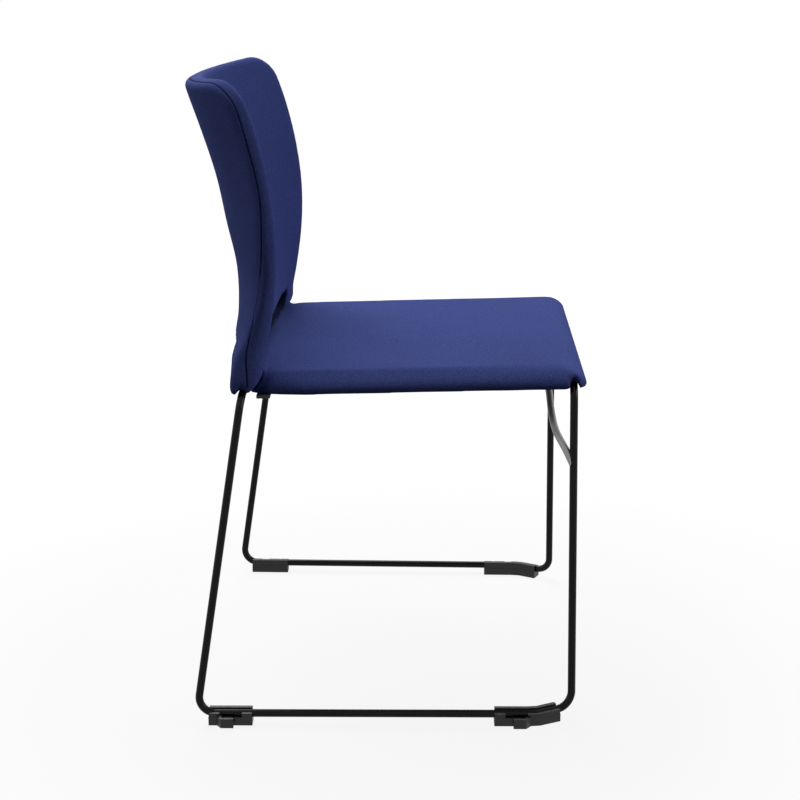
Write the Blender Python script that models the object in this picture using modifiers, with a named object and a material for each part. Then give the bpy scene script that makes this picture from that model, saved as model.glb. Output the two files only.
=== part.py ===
"""Upholstered stacking shell chair on a bent steel rod sled base.

Metres, +Z up. The chair faces -Y, its sitter's right is -X, and the floor is Z = 0.
The sizes below drive every piece: change one and what touches it follows.
"""

import math

import bmesh
import bpy
from mathutils import Matrix, Vector

# Steel rod frame
ROD_DIAMETER = 0.010
FOOT_ROD_HEIGHT = 0.0135
REAR_ROD_INSET = 0.0184
FRONT_ROD_INSET = 0.0163
REAR_ROD_SIDE_MARGIN = 0.0387
FRONT_ROD_SIDE_MARGIN = 0.0116
REAR_LEG_RAKE = 0.0655
FRONT_LEG_RAKE = 0.0062
REAR_LEG_SPLAY = 0.0197
FRONT_LEG_SPLAY = 0.0167
TOE_IN_SPLAY = 0.0237
TOE_IN_LENGTH = 0.0467
FOOT_BEND_RADIUS = 0.021
TOP_BEND_RADIUS = 0.022
TOE_BEND_RADIUS = 0.030
CROSS_ROD_HALF_LENGTH = 0.150

# Arched brace between the front legs
ARCH_ROD_DIAMETER = 0.009
ARCH_CROWN_DROP = 0.0441
ARCH_RISE = 0.0735
ARCH_SETBACK = 0.0255
ARCH_SIDE_MARGIN = 0.0014

# Seat upholstery
SEAT_HEIGHT = 0.4521
SEAT_SLOPE = math.radians(1.575)
SEAT_HALF_WIDTH = 0.2280
SEAT_FRONT_REACH = 0.2560
SEAT_TUCK_DEPTH = 0.0134
SEAT_CORNER_RADIUS = 0.038
SEAT_PAD_DEPTH = 0.0248
SEAT_ROLL_WIDTH = 0.040
SEAT_FOAM_THICKNESS = 0.0075
SEAT_LIP_WIDTH = 0.009
SEAT_CROWN = 0.002

# Back upholstery
BACK_HEEL_DROP = 0.0256
BACK_TOP_HEIGHT = 0.8112
BACK_TOP_DIP = 0.0095
BACK_SIDE_MARGIN = 0.0240
BACK_WRAP_DEPTH = 0.0730
BACK_FOOT_SETBACK = 0.1506
BACK_FOOT_RECLINE = math.radians(5.9)
BACK_SPINE_RADIUS = 1.56
BACK_THICKNESS = 0.0255
BACK_HEEL_THICKNESS = 0.0420
BACK_CORNER_RADIUS = 0.034
BACK_HEEL_CORNER_RADIUS = 0.012
BACK_EDGE_ROUND = 0.0095
BACK_FOAM_THICKNESS = 0.0115
HEEL_LIP_WIDTH = 0.004

# Hand slot between the back and the seat
SLOT_SIDE_MARGIN = 0.0540
SLOT_RISE = 0.0049
SLOT_HEIGHT = 0.0225
SLOT_CORNER_SHARE = 0.42

# Moulded shell
SHELL_THICKNESS = 0.0050
SHELL_SIDE_MARGIN = 0.0330
SHELL_FRONT_MARGIN = 0.0095
SHELL_EDGE_MARGIN = 0.0090
SHELL_BEND_RADIUS = 0.0200
SHELL_SEAT_ROWS = 5
SHELL_BEND_STEPS = 5
SHELL_BACK_ROWS = 10

# Fabric, gaps and cuts
FABRIC_THICKNESS = 0.0012
GAP = 0.0003
FOAM_GAP = 0.0010
CUT_OVERRUN = 0.020
NOTCH_CLEARANCE = 0.0008

# Seat fixings
PLATE_THICKNESS = 0.0030
PLATE_WIDTH = 0.0340
PLATE_LENGTH = 0.0300
PLATE_OFFSET = 0.1150
SCREW_DIAMETER = 0.0050
SCREW_HEAD_DIAMETER = 0.0110
SCREW_HEAD_HEIGHT = 0.0032
SCREW_CROWN_SHARE = 0.70
SCREW_RIM_SHARE = 0.60
SCREW_END_MARGIN = 0.0110
INSERT_DIAMETER = 0.0090

# Under-seat tray and stacking bumpers
TRAY_SIDE_MARGIN = 0.0500
TRAY_FRONT_MARGIN = 0.0600
TRAY_REAR_MARGIN = 0.0226
TRAY_DEPTH = 0.0105
TRAY_WALL = 0.0022
TRAY_EDGE_SHARE = 0.30
TRAY_CORNER_RADIUS = 0.025
BUMPER_LENGTH = 0.0170
BUMPER_STEM_WIDTH = 0.0250
BUMPER_SIDE_MARGIN = 0.0130
BUMPER_PAD_HEIGHT = 0.0045
BUMPER_EDGE_SHARE = 0.17

# Clip-on floor glides
GLIDE_WALL = 0.0035
GLIDE_SIDE_HEIGHT = 0.0165
GLIDE_FLANGE_HEIGHT = 0.0200
GLIDE_BLOCK_LENGTH = 0.0140
GLIDE_NOTCH_LENGTH = 0.0102
GLIDE_HOOK_LENGTH = 0.0185
GLIDE_TAIL_LENGTH = 0.0133
GLIDE_HOOK_REACH = 0.0085
GLIDE_HOOK_THICKNESS = 0.0040
GLIDE_HOOK_HEIGHT = 0.0130
GLIDE_STEP = 0.0004
GLIDE_ARM_LENGTH = 0.0080
GLIDE_ROOT_SETBACK = 0.0055
REAR_GLIDE_INSET = 0.0154
FRONT_GLIDE_RUN = 0.1003

# How finely the pads are divided: columns, rows, and rows round each corner
BACK_DIVISIONS = (10, 8, 3)
SEAT_DIVISIONS = (8, 5, 4)
EDGE_STEPS = 2

ROD_RADIUS = ROD_DIAMETER / 2
ARCH_RADIUS = ARCH_ROD_DIAMETER / 2

# How many sides and steps the round shapes have
ROD_RINGS = 3
BEND_STEPS = 7
ARCH_STEPS = 4
CORNER_STEPS = 5
BORE_SIDES = 20
SCREW_SIDES = 16
TOP_DIP_POWER = 6
TOE_STEPS = 6

# Where each piece lies, from what carries it
BACK_HALF_WIDTH = SEAT_HALF_WIDTH - BACK_SIDE_MARGIN
SEAT_REAR_REACH = BACK_FOOT_SETBACK + SEAT_TUCK_DEPTH
REAR_TOP_SETBACK = BACK_FOOT_SETBACK + REAR_ROD_INSET
REAR_FOOT_SETBACK = REAR_TOP_SETBACK + REAR_LEG_RAKE
FRONT_TOP_REACH = SEAT_FRONT_REACH - FRONT_ROD_INSET
FRONT_FOOT_REACH = FRONT_TOP_REACH + FRONT_LEG_RAKE
TOE_IN_REACH = FRONT_FOOT_REACH - TOE_IN_LENGTH
REAR_TOP_HALF_WIDTH = BACK_HALF_WIDTH + REAR_ROD_SIDE_MARGIN
REAR_FOOT_HALF_WIDTH = REAR_TOP_HALF_WIDTH + REAR_LEG_SPLAY
FRONT_TOP_HALF_WIDTH = SEAT_HALF_WIDTH - FRONT_ROD_SIDE_MARGIN
FRONT_FOOT_HALF_WIDTH = FRONT_TOP_HALF_WIDTH + FRONT_LEG_SPLAY
TOE_IN_HALF_WIDTH = FRONT_FOOT_HALF_WIDTH + TOE_IN_SPLAY
ARCH_CROWN_HEIGHT = SEAT_HEIGHT - ARCH_CROWN_DROP
ARCH_FOOT_HEIGHT = ARCH_CROWN_HEIGHT - ARCH_RISE
ARCH_HALF_WIDTH = FRONT_TOP_HALF_WIDTH - ARCH_SIDE_MARGIN
BACK_BOTTOM_HEIGHT = SEAT_HEIGHT - BACK_HEEL_DROP
SLOT_HALF_WIDTH = BACK_HALF_WIDTH - SLOT_SIDE_MARGIN
SLOT_BOTTOM_HEIGHT = SEAT_HEIGHT + SLOT_RISE
SLOT_TOP_HEIGHT = SLOT_BOTTOM_HEIGHT + SLOT_HEIGHT
SHELL_SEAT_HALF_WIDTH = SEAT_HALF_WIDTH - SHELL_SIDE_MARGIN
SHELL_FRONT_REACH = SEAT_FRONT_REACH - SHELL_FRONT_MARGIN
TRAY_HALF_WIDTH = SEAT_HALF_WIDTH - TRAY_SIDE_MARGIN
TRAY_FRONT_REACH = SEAT_FRONT_REACH - TRAY_FRONT_MARGIN
TRAY_REAR_REACH = BACK_FOOT_SETBACK - TRAY_REAR_MARGIN
BUMPER_STEM_INNER = SHELL_SEAT_HALF_WIDTH - BUMPER_STEM_WIDTH
BUMPER_OUTER = SEAT_HALF_WIDTH - BUMPER_SIDE_MARGIN
REAR_GLIDE_START = REAR_FOOT_SETBACK - REAR_GLIDE_INSET
FRONT_GLIDE_START = FRONT_FOOT_REACH - FRONT_GLIDE_RUN

# Heights up the back as shares of its height, and what each carries there
BACK_LEVEL_SHARES = (0.00, 0.10, 0.20, 0.35, 0.50, 0.65, 0.80, 0.92, 1.00)
BACK_WRAP_SHARES = (0.020, 0.205, 0.390, 0.640, 0.810, 0.940, 1.000, 0.995, 0.950)
BACK_WIDTH_SHARES = (1.200, 1.110, 1.030, 1.010, 1.020, 1.000, 0.985, 0.980, 0.975)
BACK_HEEL_SHARES = (0.50, 0.76, 0.38, 0.00, 0.05, -0.04, 0.00, 0.06, 0.04)
SEAM_DEPTH_SHARES = (0.34, 0.58, 0.58, 0.60, 0.60, 0.60, 0.60, 0.61, 0.61)

# The arch's route from a leg to its crown: half width, setback and rise
ARCH_SHARES = (
    (1.000, 0.40, 0.28), (0.930, 0.82, 0.52), (0.815, 1.00, 0.74), (0.510, 1.00, 0.92),
    (0.000, 1.00, 1.00),
)

# Rings round a pad's edge: how far in from the outline, and how deep
SEAT_RING_SHARES = (
    (1.00, 0.00), (0.74, 0.03), (0.48, 0.11), (0.26, 0.25), (0.10, 0.46),
    (0.02, 0.66), (0.00, 0.78), (0.04, 0.92), (0.16, 1.00),
)


def level_value(shares, level):
    """Smooth value between the back's levels, level running from 0 to 1."""
    level = min(max(level, 0.0), 1.0)
    last = len(BACK_LEVEL_SHARES) - 1
    index = 0
    while index < last - 1 and level > BACK_LEVEL_SHARES[index + 1]:
        index += 1
    low, high = BACK_LEVEL_SHARES[index], BACK_LEVEL_SHARES[index + 1]
    before, after = max(index - 1, 0), min(index + 2, last)
    span = high - low
    slope_low = (shares[index + 1] - shares[before]) / (high - BACK_LEVEL_SHARES[before])
    slope_high = (shares[after] - shares[index]) / (BACK_LEVEL_SHARES[after] - low)
    t = (level - low) / span
    return (
        shares[index] * (2 * t**3 - 3 * t**2 + 1)
        + slope_low * span * (t**3 - 2 * t**2 + t)
        + shares[index + 1] * (3 * t**2 - 2 * t**3)
        + slope_high * span * (t**3 - t**2)
    )


def back_level(z):
    return (z - BACK_BOTTOM_HEIGHT) / (BACK_TOP_HEIGHT - BACK_BOTTOM_HEIGHT)


def back_half_width(z):
    return BACK_HALF_WIDTH * level_value(BACK_WIDTH_SHARES, back_level(z))


def back_thickness(z):
    extra = BACK_HEEL_THICKNESS - BACK_THICKNESS
    return BACK_THICKNESS + extra * level_value(BACK_HEEL_SHARES, back_level(z))


def back_front_y(x, z):
    """The sitter's side of the back: a reclined spine with wings that wrap forward."""
    rise = z - BACK_BOTTOM_HEIGHT
    spine = BACK_FOOT_SETBACK + rise * math.tan(BACK_FOOT_RECLINE)
    spine += rise**2 / (2 * BACK_SPINE_RADIUS)
    wrap = BACK_WRAP_DEPTH * level_value(BACK_WRAP_SHARES, back_level(z))
    return spine - wrap * (x / back_half_width(z)) ** 2


def back_point(x, z, depth):
    """A point that lies depth behind the back's front surface, along its normal."""
    step = GAP
    slope_x = (back_front_y(x + step, z) - back_front_y(x - step, z)) / (2 * step)
    slope_z = (back_front_y(x, z + step) - back_front_y(x, z - step)) / (2 * step)
    normal = Vector((-slope_x, 1, -slope_z)).normalized()
    return Vector((x, back_front_y(x, z), z)) + normal * depth


def seat_top(y):
    return SEAT_HEIGHT - y * math.tan(SEAT_SLOPE)


def seat_point(x, y, depth):
    return Vector((x, y, seat_top(y) - depth))


def seat_crown(x, y, half, front, rear):
    """How far the seat swells above its plane, nothing at its rim."""
    across = 1 - (x / half) ** 2
    along = 1 - ((2 * y - front - rear) / (rear - front)) ** 2
    return SEAT_CROWN * max(across, 0) * max(along, 0)


def run_of_rows(start, end, start_radius, end_radius, middle_rows, corner_rows):
    """Places along a panel, closer together round its corners."""
    places = []
    for step in range(corner_rows):
        angle = math.pi / 2 * step / corner_rows
        places.append(start + start_radius * (1 - math.cos(angle)) if start_radius else None)
    for step in range(middle_rows + 1):
        low, high = start + start_radius, end - end_radius
        places.append(low + (high - low) * step / middle_rows)
    for step in range(corner_rows):
        angle = math.pi / 2 * (corner_rows - 1 - step) / corner_rows
        places.append(end - end_radius * (1 - math.cos(angle)) if end_radius else None)
    return [place for place in places if place is not None]


def corner_cut(place, start, end, start_radius, end_radius):
    """How far a rounded corner draws the outline in at a place along a panel."""
    if start_radius and place < start + start_radius:
        run = start + start_radius - place
        return start_radius - math.sqrt(max(start_radius**2 - run**2, 0))
    if end_radius and place > end - end_radius:
        run = place - end + end_radius
        return end_radius - math.sqrt(max(end_radius**2 - run**2, 0))
    return 0.0


def column_place(half, outer_half, column, columns):
    """A column's x: the same in every layer but for the two outermost ones."""
    share = 2 * column / columns - 1
    return math.copysign(outer_half, share) if abs(share) == 1 else half * share


def back_grid(inset, depth_at, columns, middle_rows, corner_rows):
    """Rows of points over the back, drawn in from its outline by inset."""
    bottom, top = BACK_BOTTOM_HEIGHT + inset, BACK_TOP_HEIGHT - inset
    low_radius = max(BACK_HEEL_CORNER_RADIUS - inset, GAP)
    high_radius = max(BACK_CORNER_RADIUS - inset, GAP)
    grid = []
    for z in run_of_rows(bottom, top, low_radius, high_radius, middle_rows, corner_rows):
        half = back_half_width(z) - corner_cut(z, bottom, top, low_radius, high_radius)
        row = []
        for column in range(columns + 1):
            x = column_place(half, half - inset, column, columns)
            level = back_level(z)
            dip = BACK_TOP_DIP * (1 - (x / BACK_HALF_WIDTH) ** 2) * level**TOP_DIP_POWER
            row.append(back_point(x, z - dip, depth_at(z)))
        grid.append(row)
    return grid


def seat_grid(inset, depth, columns, middle_rows, corner_rows, crowned=False):
    """Rows of points over the seat, drawn in from its outline by inset."""
    front, rear = -SEAT_FRONT_REACH + inset, SEAT_REAR_REACH - inset
    radius = max(SEAT_CORNER_RADIUS - inset, GAP)
    grid = []
    for y in run_of_rows(front, rear, radius, 0, middle_rows, corner_rows):
        half = SEAT_HALF_WIDTH - inset - corner_cut(y, front, rear, radius, 0)
        row = []
        for column in range(columns + 1):
            x = half * (2 * column / columns - 1)
            swell = seat_crown(x, y, half, front, rear) if crowned else 0
            row.append(seat_point(x, y, depth - swell))
        grid.append(row)
    return grid


def rim_of(grid):
    """The outer loop of a grid's points, in order."""
    rim = list(grid[0])
    rim += [row[-1] for row in grid[1:-1]]
    rim += list(reversed(grid[-1]))
    rim += [row[0] for row in reversed(grid[1:-1])]
    return rim


def link(name, mesh, material):
    piece = bpy.data.objects.new(name, mesh)
    if material:
        mesh.materials.append(material)
        parts.objects.link(piece)
    else:
        piece.hide_render = True
        piece.display_type = "WIRE"
        cutters.objects.link(piece)
    return piece


def finish_mesh(name, bm, material):
    bmesh.ops.remove_doubles(bm, verts=bm.verts, dist=GAP / 10)
    bmesh.ops.recalc_face_normals(bm, faces=bm.faces)
    mesh = bpy.data.meshes.new(name)
    bm.to_mesh(mesh)
    bm.free()
    return link(name, mesh, material)


def padded_body(name, near, rings, far, material=None):
    """A closed pad: a near face, rings round its edge and a far face."""
    bm = bmesh.new()

    def add_face(grid):
        rows = [[bm.verts.new(point) for point in row] for row in grid]
        for low, high in zip(rows, rows[1:]):
            for i in range(len(low) - 1):
                bm.faces.new((low[i], low[i + 1], high[i + 1], high[i]))

    loops = [rim_of(near)] + [rim_of(ring) for ring in rings] + [rim_of(far)]
    add_face(near)
    add_face(far)
    for low, high in zip(loops, loops[1:]):
        low_verts = [bm.verts.new(point) for point in low]
        high_verts = [bm.verts.new(point) for point in high]
        count = len(low)
        for i in range(count):
            j = (i + 1) % count
            bm.faces.new((low_verts[i], low_verts[j], high_verts[j], high_verts[i]))
    bmesh.ops.remove_doubles(bm, verts=bm.verts, dist=GAP / 10)
    bmesh.ops.triangulate(bm, faces=bm.faces)
    return finish_mesh(name, bm, material)


def edge_rings(inset, depth_at, edge_round, towards, steps):
    """Rings that round the back's edge, from a face out to its full width."""
    rings = []
    for step in range(1, steps + 1):
        angle = math.pi / 2 * step / steps
        extra = edge_round * (1 - math.sin(angle))
        drop = towards * edge_round * (1 - math.cos(angle))
        rings.append(back_grid(
            inset + extra, lambda z, drop=drop: depth_at(z) + drop, *BACK_DIVISIONS
        ))
    return rings


def back_body(name, inset, near_depth, far_depth, near_round, far_round, material=None):
    """A slab of the back between two depths, its edges rounded towards each face."""
    near = back_grid(inset + near_round, near_depth, *BACK_DIVISIONS)
    far = back_grid(inset + far_round, far_depth, *BACK_DIVISIONS)
    rings = edge_rings(inset, near_depth, near_round, 1, EDGE_STEPS if near_round else 0)
    rings += reversed(edge_rings(inset, far_depth, far_round, -1, EDGE_STEPS if far_round else 0))
    return padded_body(name, near, rings, far, material)


def back_cover(name, face_depth, seam, towards):
    """Half of the back's upholstery, a dished sheet from one face out to the seam."""
    sheet = FABRIC_THICKNESS

    def lined_depth(z):
        return face_depth(z) + towards * sheet

    outer = edge_rings(0, face_depth, BACK_EDGE_ROUND, towards, EDGE_STEPS)
    inner = edge_rings(sheet, lined_depth, BACK_EDGE_ROUND - sheet, towards, EDGE_STEPS)
    rims = [back_grid(inset, seam, *BACK_DIVISIONS) for inset in (0, sheet)]
    return padded_body(
        name,
        back_grid(BACK_EDGE_ROUND, face_depth, *BACK_DIVISIONS),
        outer + rims + list(reversed(inner)),
        back_grid(BACK_EDGE_ROUND, lined_depth, *BACK_DIVISIONS),
        fabric,
    )


def seat_slab(inset, width_share, depth_share, crowned=False):
    """One ring of the seat's rolled edge, or its crowned top."""
    depth = inset + (SEAT_PAD_DEPTH - 2 * inset) * depth_share
    width = inset + (SEAT_ROLL_WIDTH - inset) * width_share
    return seat_grid(width, depth, *SEAT_DIVISIONS, crowned)


def seat_rings(inset):
    return [seat_slab(inset, *shares) for shares in SEAT_RING_SHARES[1:]]


def box(name, low, high, material=None):
    bm = bmesh.new()
    bmesh.ops.create_cube(bm, size=1)
    low, high = Vector(low), Vector(high)
    bmesh.ops.scale(bm, verts=bm.verts, vec=high - low)
    bmesh.ops.translate(bm, verts=bm.verts, vec=(low + high) / 2)
    return finish_mesh(name, bm, material)


def cylinder(name, base, top, radius, sides, material=None):
    bm = bmesh.new()
    base, top = Vector(base), Vector(top)
    axis = top - base
    bmesh.ops.create_cone(
        bm, cap_ends=True, segments=sides, radius1=radius, radius2=radius, depth=axis.length
    )
    turn = Vector((0, 0, 1)).rotation_difference(axis).to_matrix().to_4x4()
    bmesh.ops.transform(bm, verts=bm.verts, matrix=Matrix.Translation((base + top) / 2) @ turn)
    return finish_mesh(name, bm, material)


def rounded_route(corners, radii, steps):
    """A route through corners, with an arc of the given radius at each inner corner."""
    corners = [Vector(corner) for corner in corners]
    route = [corners[0]]
    for before, corner, after, radius in zip(corners, corners[1:], corners[2:], radii):
        arrive, leave = (before - corner).normalized(), (after - corner).normalized()
        half = arrive.angle(leave) / 2
        centre = corner + (arrive + leave).normalized() * (radius / math.sin(half))
        start = corner + arrive * (radius / math.tan(half)) - centre
        end = corner + leave * (radius / math.tan(half)) - centre
        sweep = start.angle(end)
        for step in range(steps + 1):
            share = step / steps
            arm = start * math.sin((1 - share) * sweep) + end * math.sin(share * sweep)
            route.append(centre + arm / math.sin(sweep))
    route.append(corners[-1])
    return route


def rod(name, route, radius, material=None):
    """A round bar along a route, as a closed mesh."""
    curve = bpy.data.curves.new(name + "_route", "CURVE")
    curve.dimensions = "3D"
    curve.bevel_depth = radius
    curve.bevel_resolution = ROD_RINGS
    curve.use_fill_caps = True
    spline = curve.splines.new("POLY")
    spline.points.add(len(route) - 1)
    for point, place in zip(spline.points, route):
        point.co = (*place, 1)
    carrier = bpy.data.objects.new(name + "_route", curve)
    parts.objects.link(carrier)
    depsgraph = bpy.context.evaluated_depsgraph_get()
    mesh = bpy.data.meshes.new_from_object(carrier.evaluated_get(depsgraph))
    bpy.data.objects.remove(carrier)
    bm = bmesh.new()
    bm.from_mesh(mesh)
    bpy.data.meshes.remove(mesh)
    return finish_mesh(name, bm, material)


def cut(piece, *tools, operation="DIFFERENCE"):
    """Add an exact Boolean to a piece for each tool."""
    for tool in tools:
        modifier = piece.modifiers.new(tool.name, "BOOLEAN")
        modifier.operation = operation
        modifier.solver = "EXACT"
        modifier.object = tool
    return piece


def bevel(piece, width, segments=2, angle=35):
    modifier = piece.modifiers.new("soft_edges", "BEVEL")
    modifier.width = width
    modifier.segments = segments
    modifier.limit_method = "ANGLE"
    modifier.angle_limit = math.radians(angle)
    return piece


def material(name, colour, roughness, metallic=0.0):
    made = bpy.data.materials.new(name)
    made.use_nodes = True
    shader = made.node_tree.nodes["Principled BSDF"]
    shader.inputs["Base Color"].default_value = (*colour, 1)
    shader.inputs["Roughness"].default_value = roughness
    shader.inputs["Metallic"].default_value = metallic
    return made


def collection(name):
    made = bpy.data.collections.new(name)
    bpy.context.scene.collection.children.link(made)
    return made


def rear_rod_height():
    return seat_top(REAR_TOP_SETBACK) - rod_depth()


def front_rod_height():
    return seat_top(-FRONT_TOP_REACH) - rod_depth()


def shell_top_depth():
    """How far below the seat's top the shell's upper face lies."""
    return FABRIC_THICKNESS + GAP + SEAT_FOAM_THICKNESS + FOAM_GAP


def rod_depth():
    """How far a cross rod's centre lies below the seat's top."""
    return shell_top_depth() + SHELL_THICKNESS + GAP + ROD_RADIUS


def side_route(side):
    """The bent rod of one side, from the rear cross rod round to the front one."""
    rear_top, front_top = rear_rod_height(), front_rod_height()
    corners = (
        (side * (CROSS_ROD_HALF_LENGTH + GAP), REAR_TOP_SETBACK, rear_top),
        (side * REAR_TOP_HALF_WIDTH, REAR_TOP_SETBACK, rear_top),
        (side * REAR_FOOT_HALF_WIDTH, REAR_FOOT_SETBACK, FOOT_ROD_HEIGHT),
        (side * TOE_IN_HALF_WIDTH, -TOE_IN_REACH, FOOT_ROD_HEIGHT),
        (side * FRONT_FOOT_HALF_WIDTH, -FRONT_FOOT_REACH, FOOT_ROD_HEIGHT),
        (side * FRONT_TOP_HALF_WIDTH, -FRONT_TOP_REACH, front_top),
        (side * (CROSS_ROD_HALF_LENGTH + GAP), -FRONT_TOP_REACH, front_top),
    )
    radii = (TOP_BEND_RADIUS, FOOT_BEND_RADIUS, TOE_BEND_RADIUS, FOOT_BEND_RADIUS, TOP_BEND_RADIUS)
    return rounded_route(corners, radii, BEND_STEPS)


def build_frame():
    for side, word in ((-1, "right"), (1, "left")):
        rod(word + "_side_frame", side_route(side), ROD_RADIUS, steel)
    for word, y, z in (
        ("rear", REAR_TOP_SETBACK, rear_rod_height()),
        ("front", -FRONT_TOP_REACH, front_rod_height()),
    ):
        ends = [(side * CROSS_ROD_HALF_LENGTH, y, z) for side in (-1, 1)]
        rod(word + "_cross_rod", ends, ROD_RADIUS, steel)


def front_leg_centre(height):
    """The centre of the right front leg at a height."""
    share = (height - FOOT_ROD_HEIGHT) / (front_rod_height() - FOOT_ROD_HEIGHT)
    foot = Vector((-FRONT_FOOT_HALF_WIDTH, -FRONT_FOOT_REACH, FOOT_ROD_HEIGHT))
    top = Vector((-FRONT_TOP_HALF_WIDTH, -FRONT_TOP_REACH, front_rod_height()))
    return foot.lerp(top, share)


def smooth_route(knots, steps):
    """A smooth route through every knot."""
    last = len(knots) - 1
    route = []
    for index in range(last):
        before, low, high = knots[max(index - 1, 0)], knots[index], knots[index + 1]
        after = knots[min(index + 2, last)]
        for step in range(steps):
            t = step / steps
            route.append(
                (low * 2 + (high - before) * t
                 + (before * 2 - low * 5 + high * 4 - after) * t**2
                 + (low * 3 - before - high * 3 + after) * t**3) / 2
            )
    route.append(knots[-1])
    return route


def build_arch():
    """A bow that leaves each front leg to the rear and rises to a flat crown."""
    leg = front_leg_centre(ARCH_FOOT_HEIGHT)
    rise = ARCH_CROWN_HEIGHT - ARCH_FOOT_HEIGHT
    half = [leg]
    for across, back, up in ARCH_SHARES:
        half.append(Vector((
            -ARCH_HALF_WIDTH * across, leg.y + ARCH_SETBACK * back, ARCH_FOOT_HEIGHT + rise * up
        )))
    knots = half + [Vector((-p.x, p.y, p.z)) for p in reversed(half[:-1])]
    arch = rod("arch_brace", smooth_route(knots, ARCH_STEPS), ARCH_RADIUS, steel)
    for side, word in ((-1, "right"), (1, "left")):
        cut(arch, rod("leg_space_" + word, side_route(side), ROD_RADIUS + GAP))


def copy_of(source, name, material=None):
    return link(name, source.data.copy(), material)


def slot_cutter(name, growth, low_y, high_y):
    """A long hole with rounded corners, through the back."""
    half = SLOT_HALF_WIDTH + growth
    low = (-half, low_y, SLOT_BOTTOM_HEIGHT - growth)
    high = (half, high_y, SLOT_TOP_HEIGHT + growth)
    cutter = box(name, low, high)
    bm = bmesh.new()
    bm.from_mesh(cutter.data)
    along = [edge for edge in bm.edges if abs(edge.verts[0].co.y - edge.verts[1].co.y) > GAP]
    radius = (high[2] - low[2]) * SLOT_CORNER_SHARE
    bmesh.ops.bevel(
        bm, geom=along, offset=radius, offset_type="OFFSET", segments=CORNER_STEPS, profile=0.5,
        affect="EDGES", material=-1,
    )
    bm.to_mesh(cutter.data)
    bm.free()
    return cutter


def rod_mouths(end, top_half_width, y, rod_height, pad_bottom, through=0):
    """Openings where the side frames' top bends go into the upholstery."""
    centre_x = top_half_width - TOP_BEND_RADIUS
    drop = pad_bottom - (rod_height - TOP_BEND_RADIUS)
    outer_x = centre_x + math.sqrt((TOP_BEND_RADIUS + ROD_RADIUS) ** 2 - drop**2)
    reach = ROD_RADIUS + NOTCH_CLEARANCE
    mouths = []
    for side, word in ((-1, "right"), (1, "left")):
        ends = (side * (centre_x - ROD_RADIUS), side * (outer_x + NOTCH_CLEARANCE + through))
        mouths.append(box(
            end + "_" + word + "_rod_mouth",
            (min(ends), y - reach, pad_bottom - CUT_OVERRUN),
            (max(ends), y + reach, rod_height + reach),
        ))
    return mouths


def build_cutters():
    """Tools that several pieces share."""
    lining = FABRIC_THICKNESS
    far = BACK_FOOT_SETBACK + BACK_HEEL_THICKNESS + CUT_OVERRUN
    near = BACK_FOOT_SETBACK - CUT_OVERRUN
    return {
        "slot": slot_cutter("slot_hole", 0, near, far),
        "slot_lined": slot_cutter("slot_hole_lined", lining + GAP, near, far),
        "slot_foam": slot_cutter("slot_hole_foam", lining + 2 * GAP, near, far),
        "rear_mouths": rod_mouths(
            "rear", REAR_TOP_HALF_WIDTH, REAR_TOP_SETBACK, rear_rod_height(), BACK_BOTTOM_HEIGHT
        ),
        "front_mouths": rod_mouths(
            "front", FRONT_TOP_HALF_WIDTH, -FRONT_TOP_REACH, front_rod_height(),
            seat_top(-FRONT_TOP_REACH) - SEAT_PAD_DEPTH, CUT_OVERRUN,
        ),
        "back_space": back_body(
            "back_space", -GAP, lambda z: -GAP, lambda z: back_thickness(z) + CUT_OVERRUN,
            BACK_EDGE_ROUND, 0,
        ),
        "shell_room": shell_sheet("shell_room", GAP, CUT_OVERRUN, 0),
    }


def seam_depth(z):
    return level_value(SEAM_DEPTH_SHARES, back_level(z)) * back_thickness(z)


def heel_opening():
    """The open underside of the back's heel, where the rear rods go in."""
    z = BACK_BOTTOM_HEIGHT
    half = back_half_width(z) - BACK_HEEL_CORNER_RADIUS
    low = (-half, back_front_y(0, z) + HEEL_LIP_WIDTH, z - CUT_OVERRUN)
    high_y = back_front_y(0, z) + back_thickness(z) - HEEL_LIP_WIDTH
    return box("heel_opening", low, (half, high_y, z + ROD_RADIUS + FABRIC_THICKNESS))


def build_back(tools):
    inset = FABRIC_THICKNESS + GAP
    front_cover = back_cover("back_front_cover", lambda z: 0, lambda z: seam_depth(z) - GAP / 2, 1)
    rear_cover = back_cover("back_rear_cover", back_thickness, lambda z: seam_depth(z) + GAP / 2, -1)
    opening = heel_opening()
    cut(front_cover, tools["slot_lined"], tools["shell_room"], opening, *tools["rear_mouths"])
    cut(rear_cover, tools["slot_lined"], opening, *tools["rear_mouths"])

    lining = back_body("hand_slot_lining", CUT_OVERRUN, lambda z: 0, back_thickness, 0, 0, fabric)
    around = slot_cutter(
        "slot_lining_outside", FABRIC_THICKNESS, -BACK_FOOT_SETBACK, BACK_FOOT_SETBACK * 2
    )
    cut(lining, around, operation="INTERSECT")
    cut(lining, tools["slot"])

    front_foam = back_body(
        "back_foam", inset, lambda z: inset, lambda z: inset + BACK_FOAM_THICKNESS,
        BACK_EDGE_ROUND - inset, GAP, foam,
    )
    cut(front_foam, tools["slot_foam"], tools["shell_room"])
    for name, low, high in (
        ("back_rear_foam", SLOT_TOP_HEIGHT + 2 * inset, BACK_TOP_HEIGHT + CUT_OVERRUN),
        ("heel_foam", rear_rod_height() + ROD_RADIUS + inset, SLOT_BOTTOM_HEIGHT - 2 * inset),
    ):
        pad = back_body(
            name, SHELL_EDGE_MARGIN, lambda z: shell_rear_depth() + FOAM_GAP + GAP,
            lambda z: back_thickness(z) - inset, 0, GAP, foam,
        )
        width, reach = BACK_HALF_WIDTH * 2, BACK_FOOT_SETBACK * 2
        cut(pad, box(name + "_span", (-width, 0, low), (width, reach, high)), operation="INTERSECT")


def shell_front_depth():
    """How far behind the back's front surface the shell's front face lies."""
    return FABRIC_THICKNESS + GAP + BACK_FOAM_THICKNESS + FOAM_GAP


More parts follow.
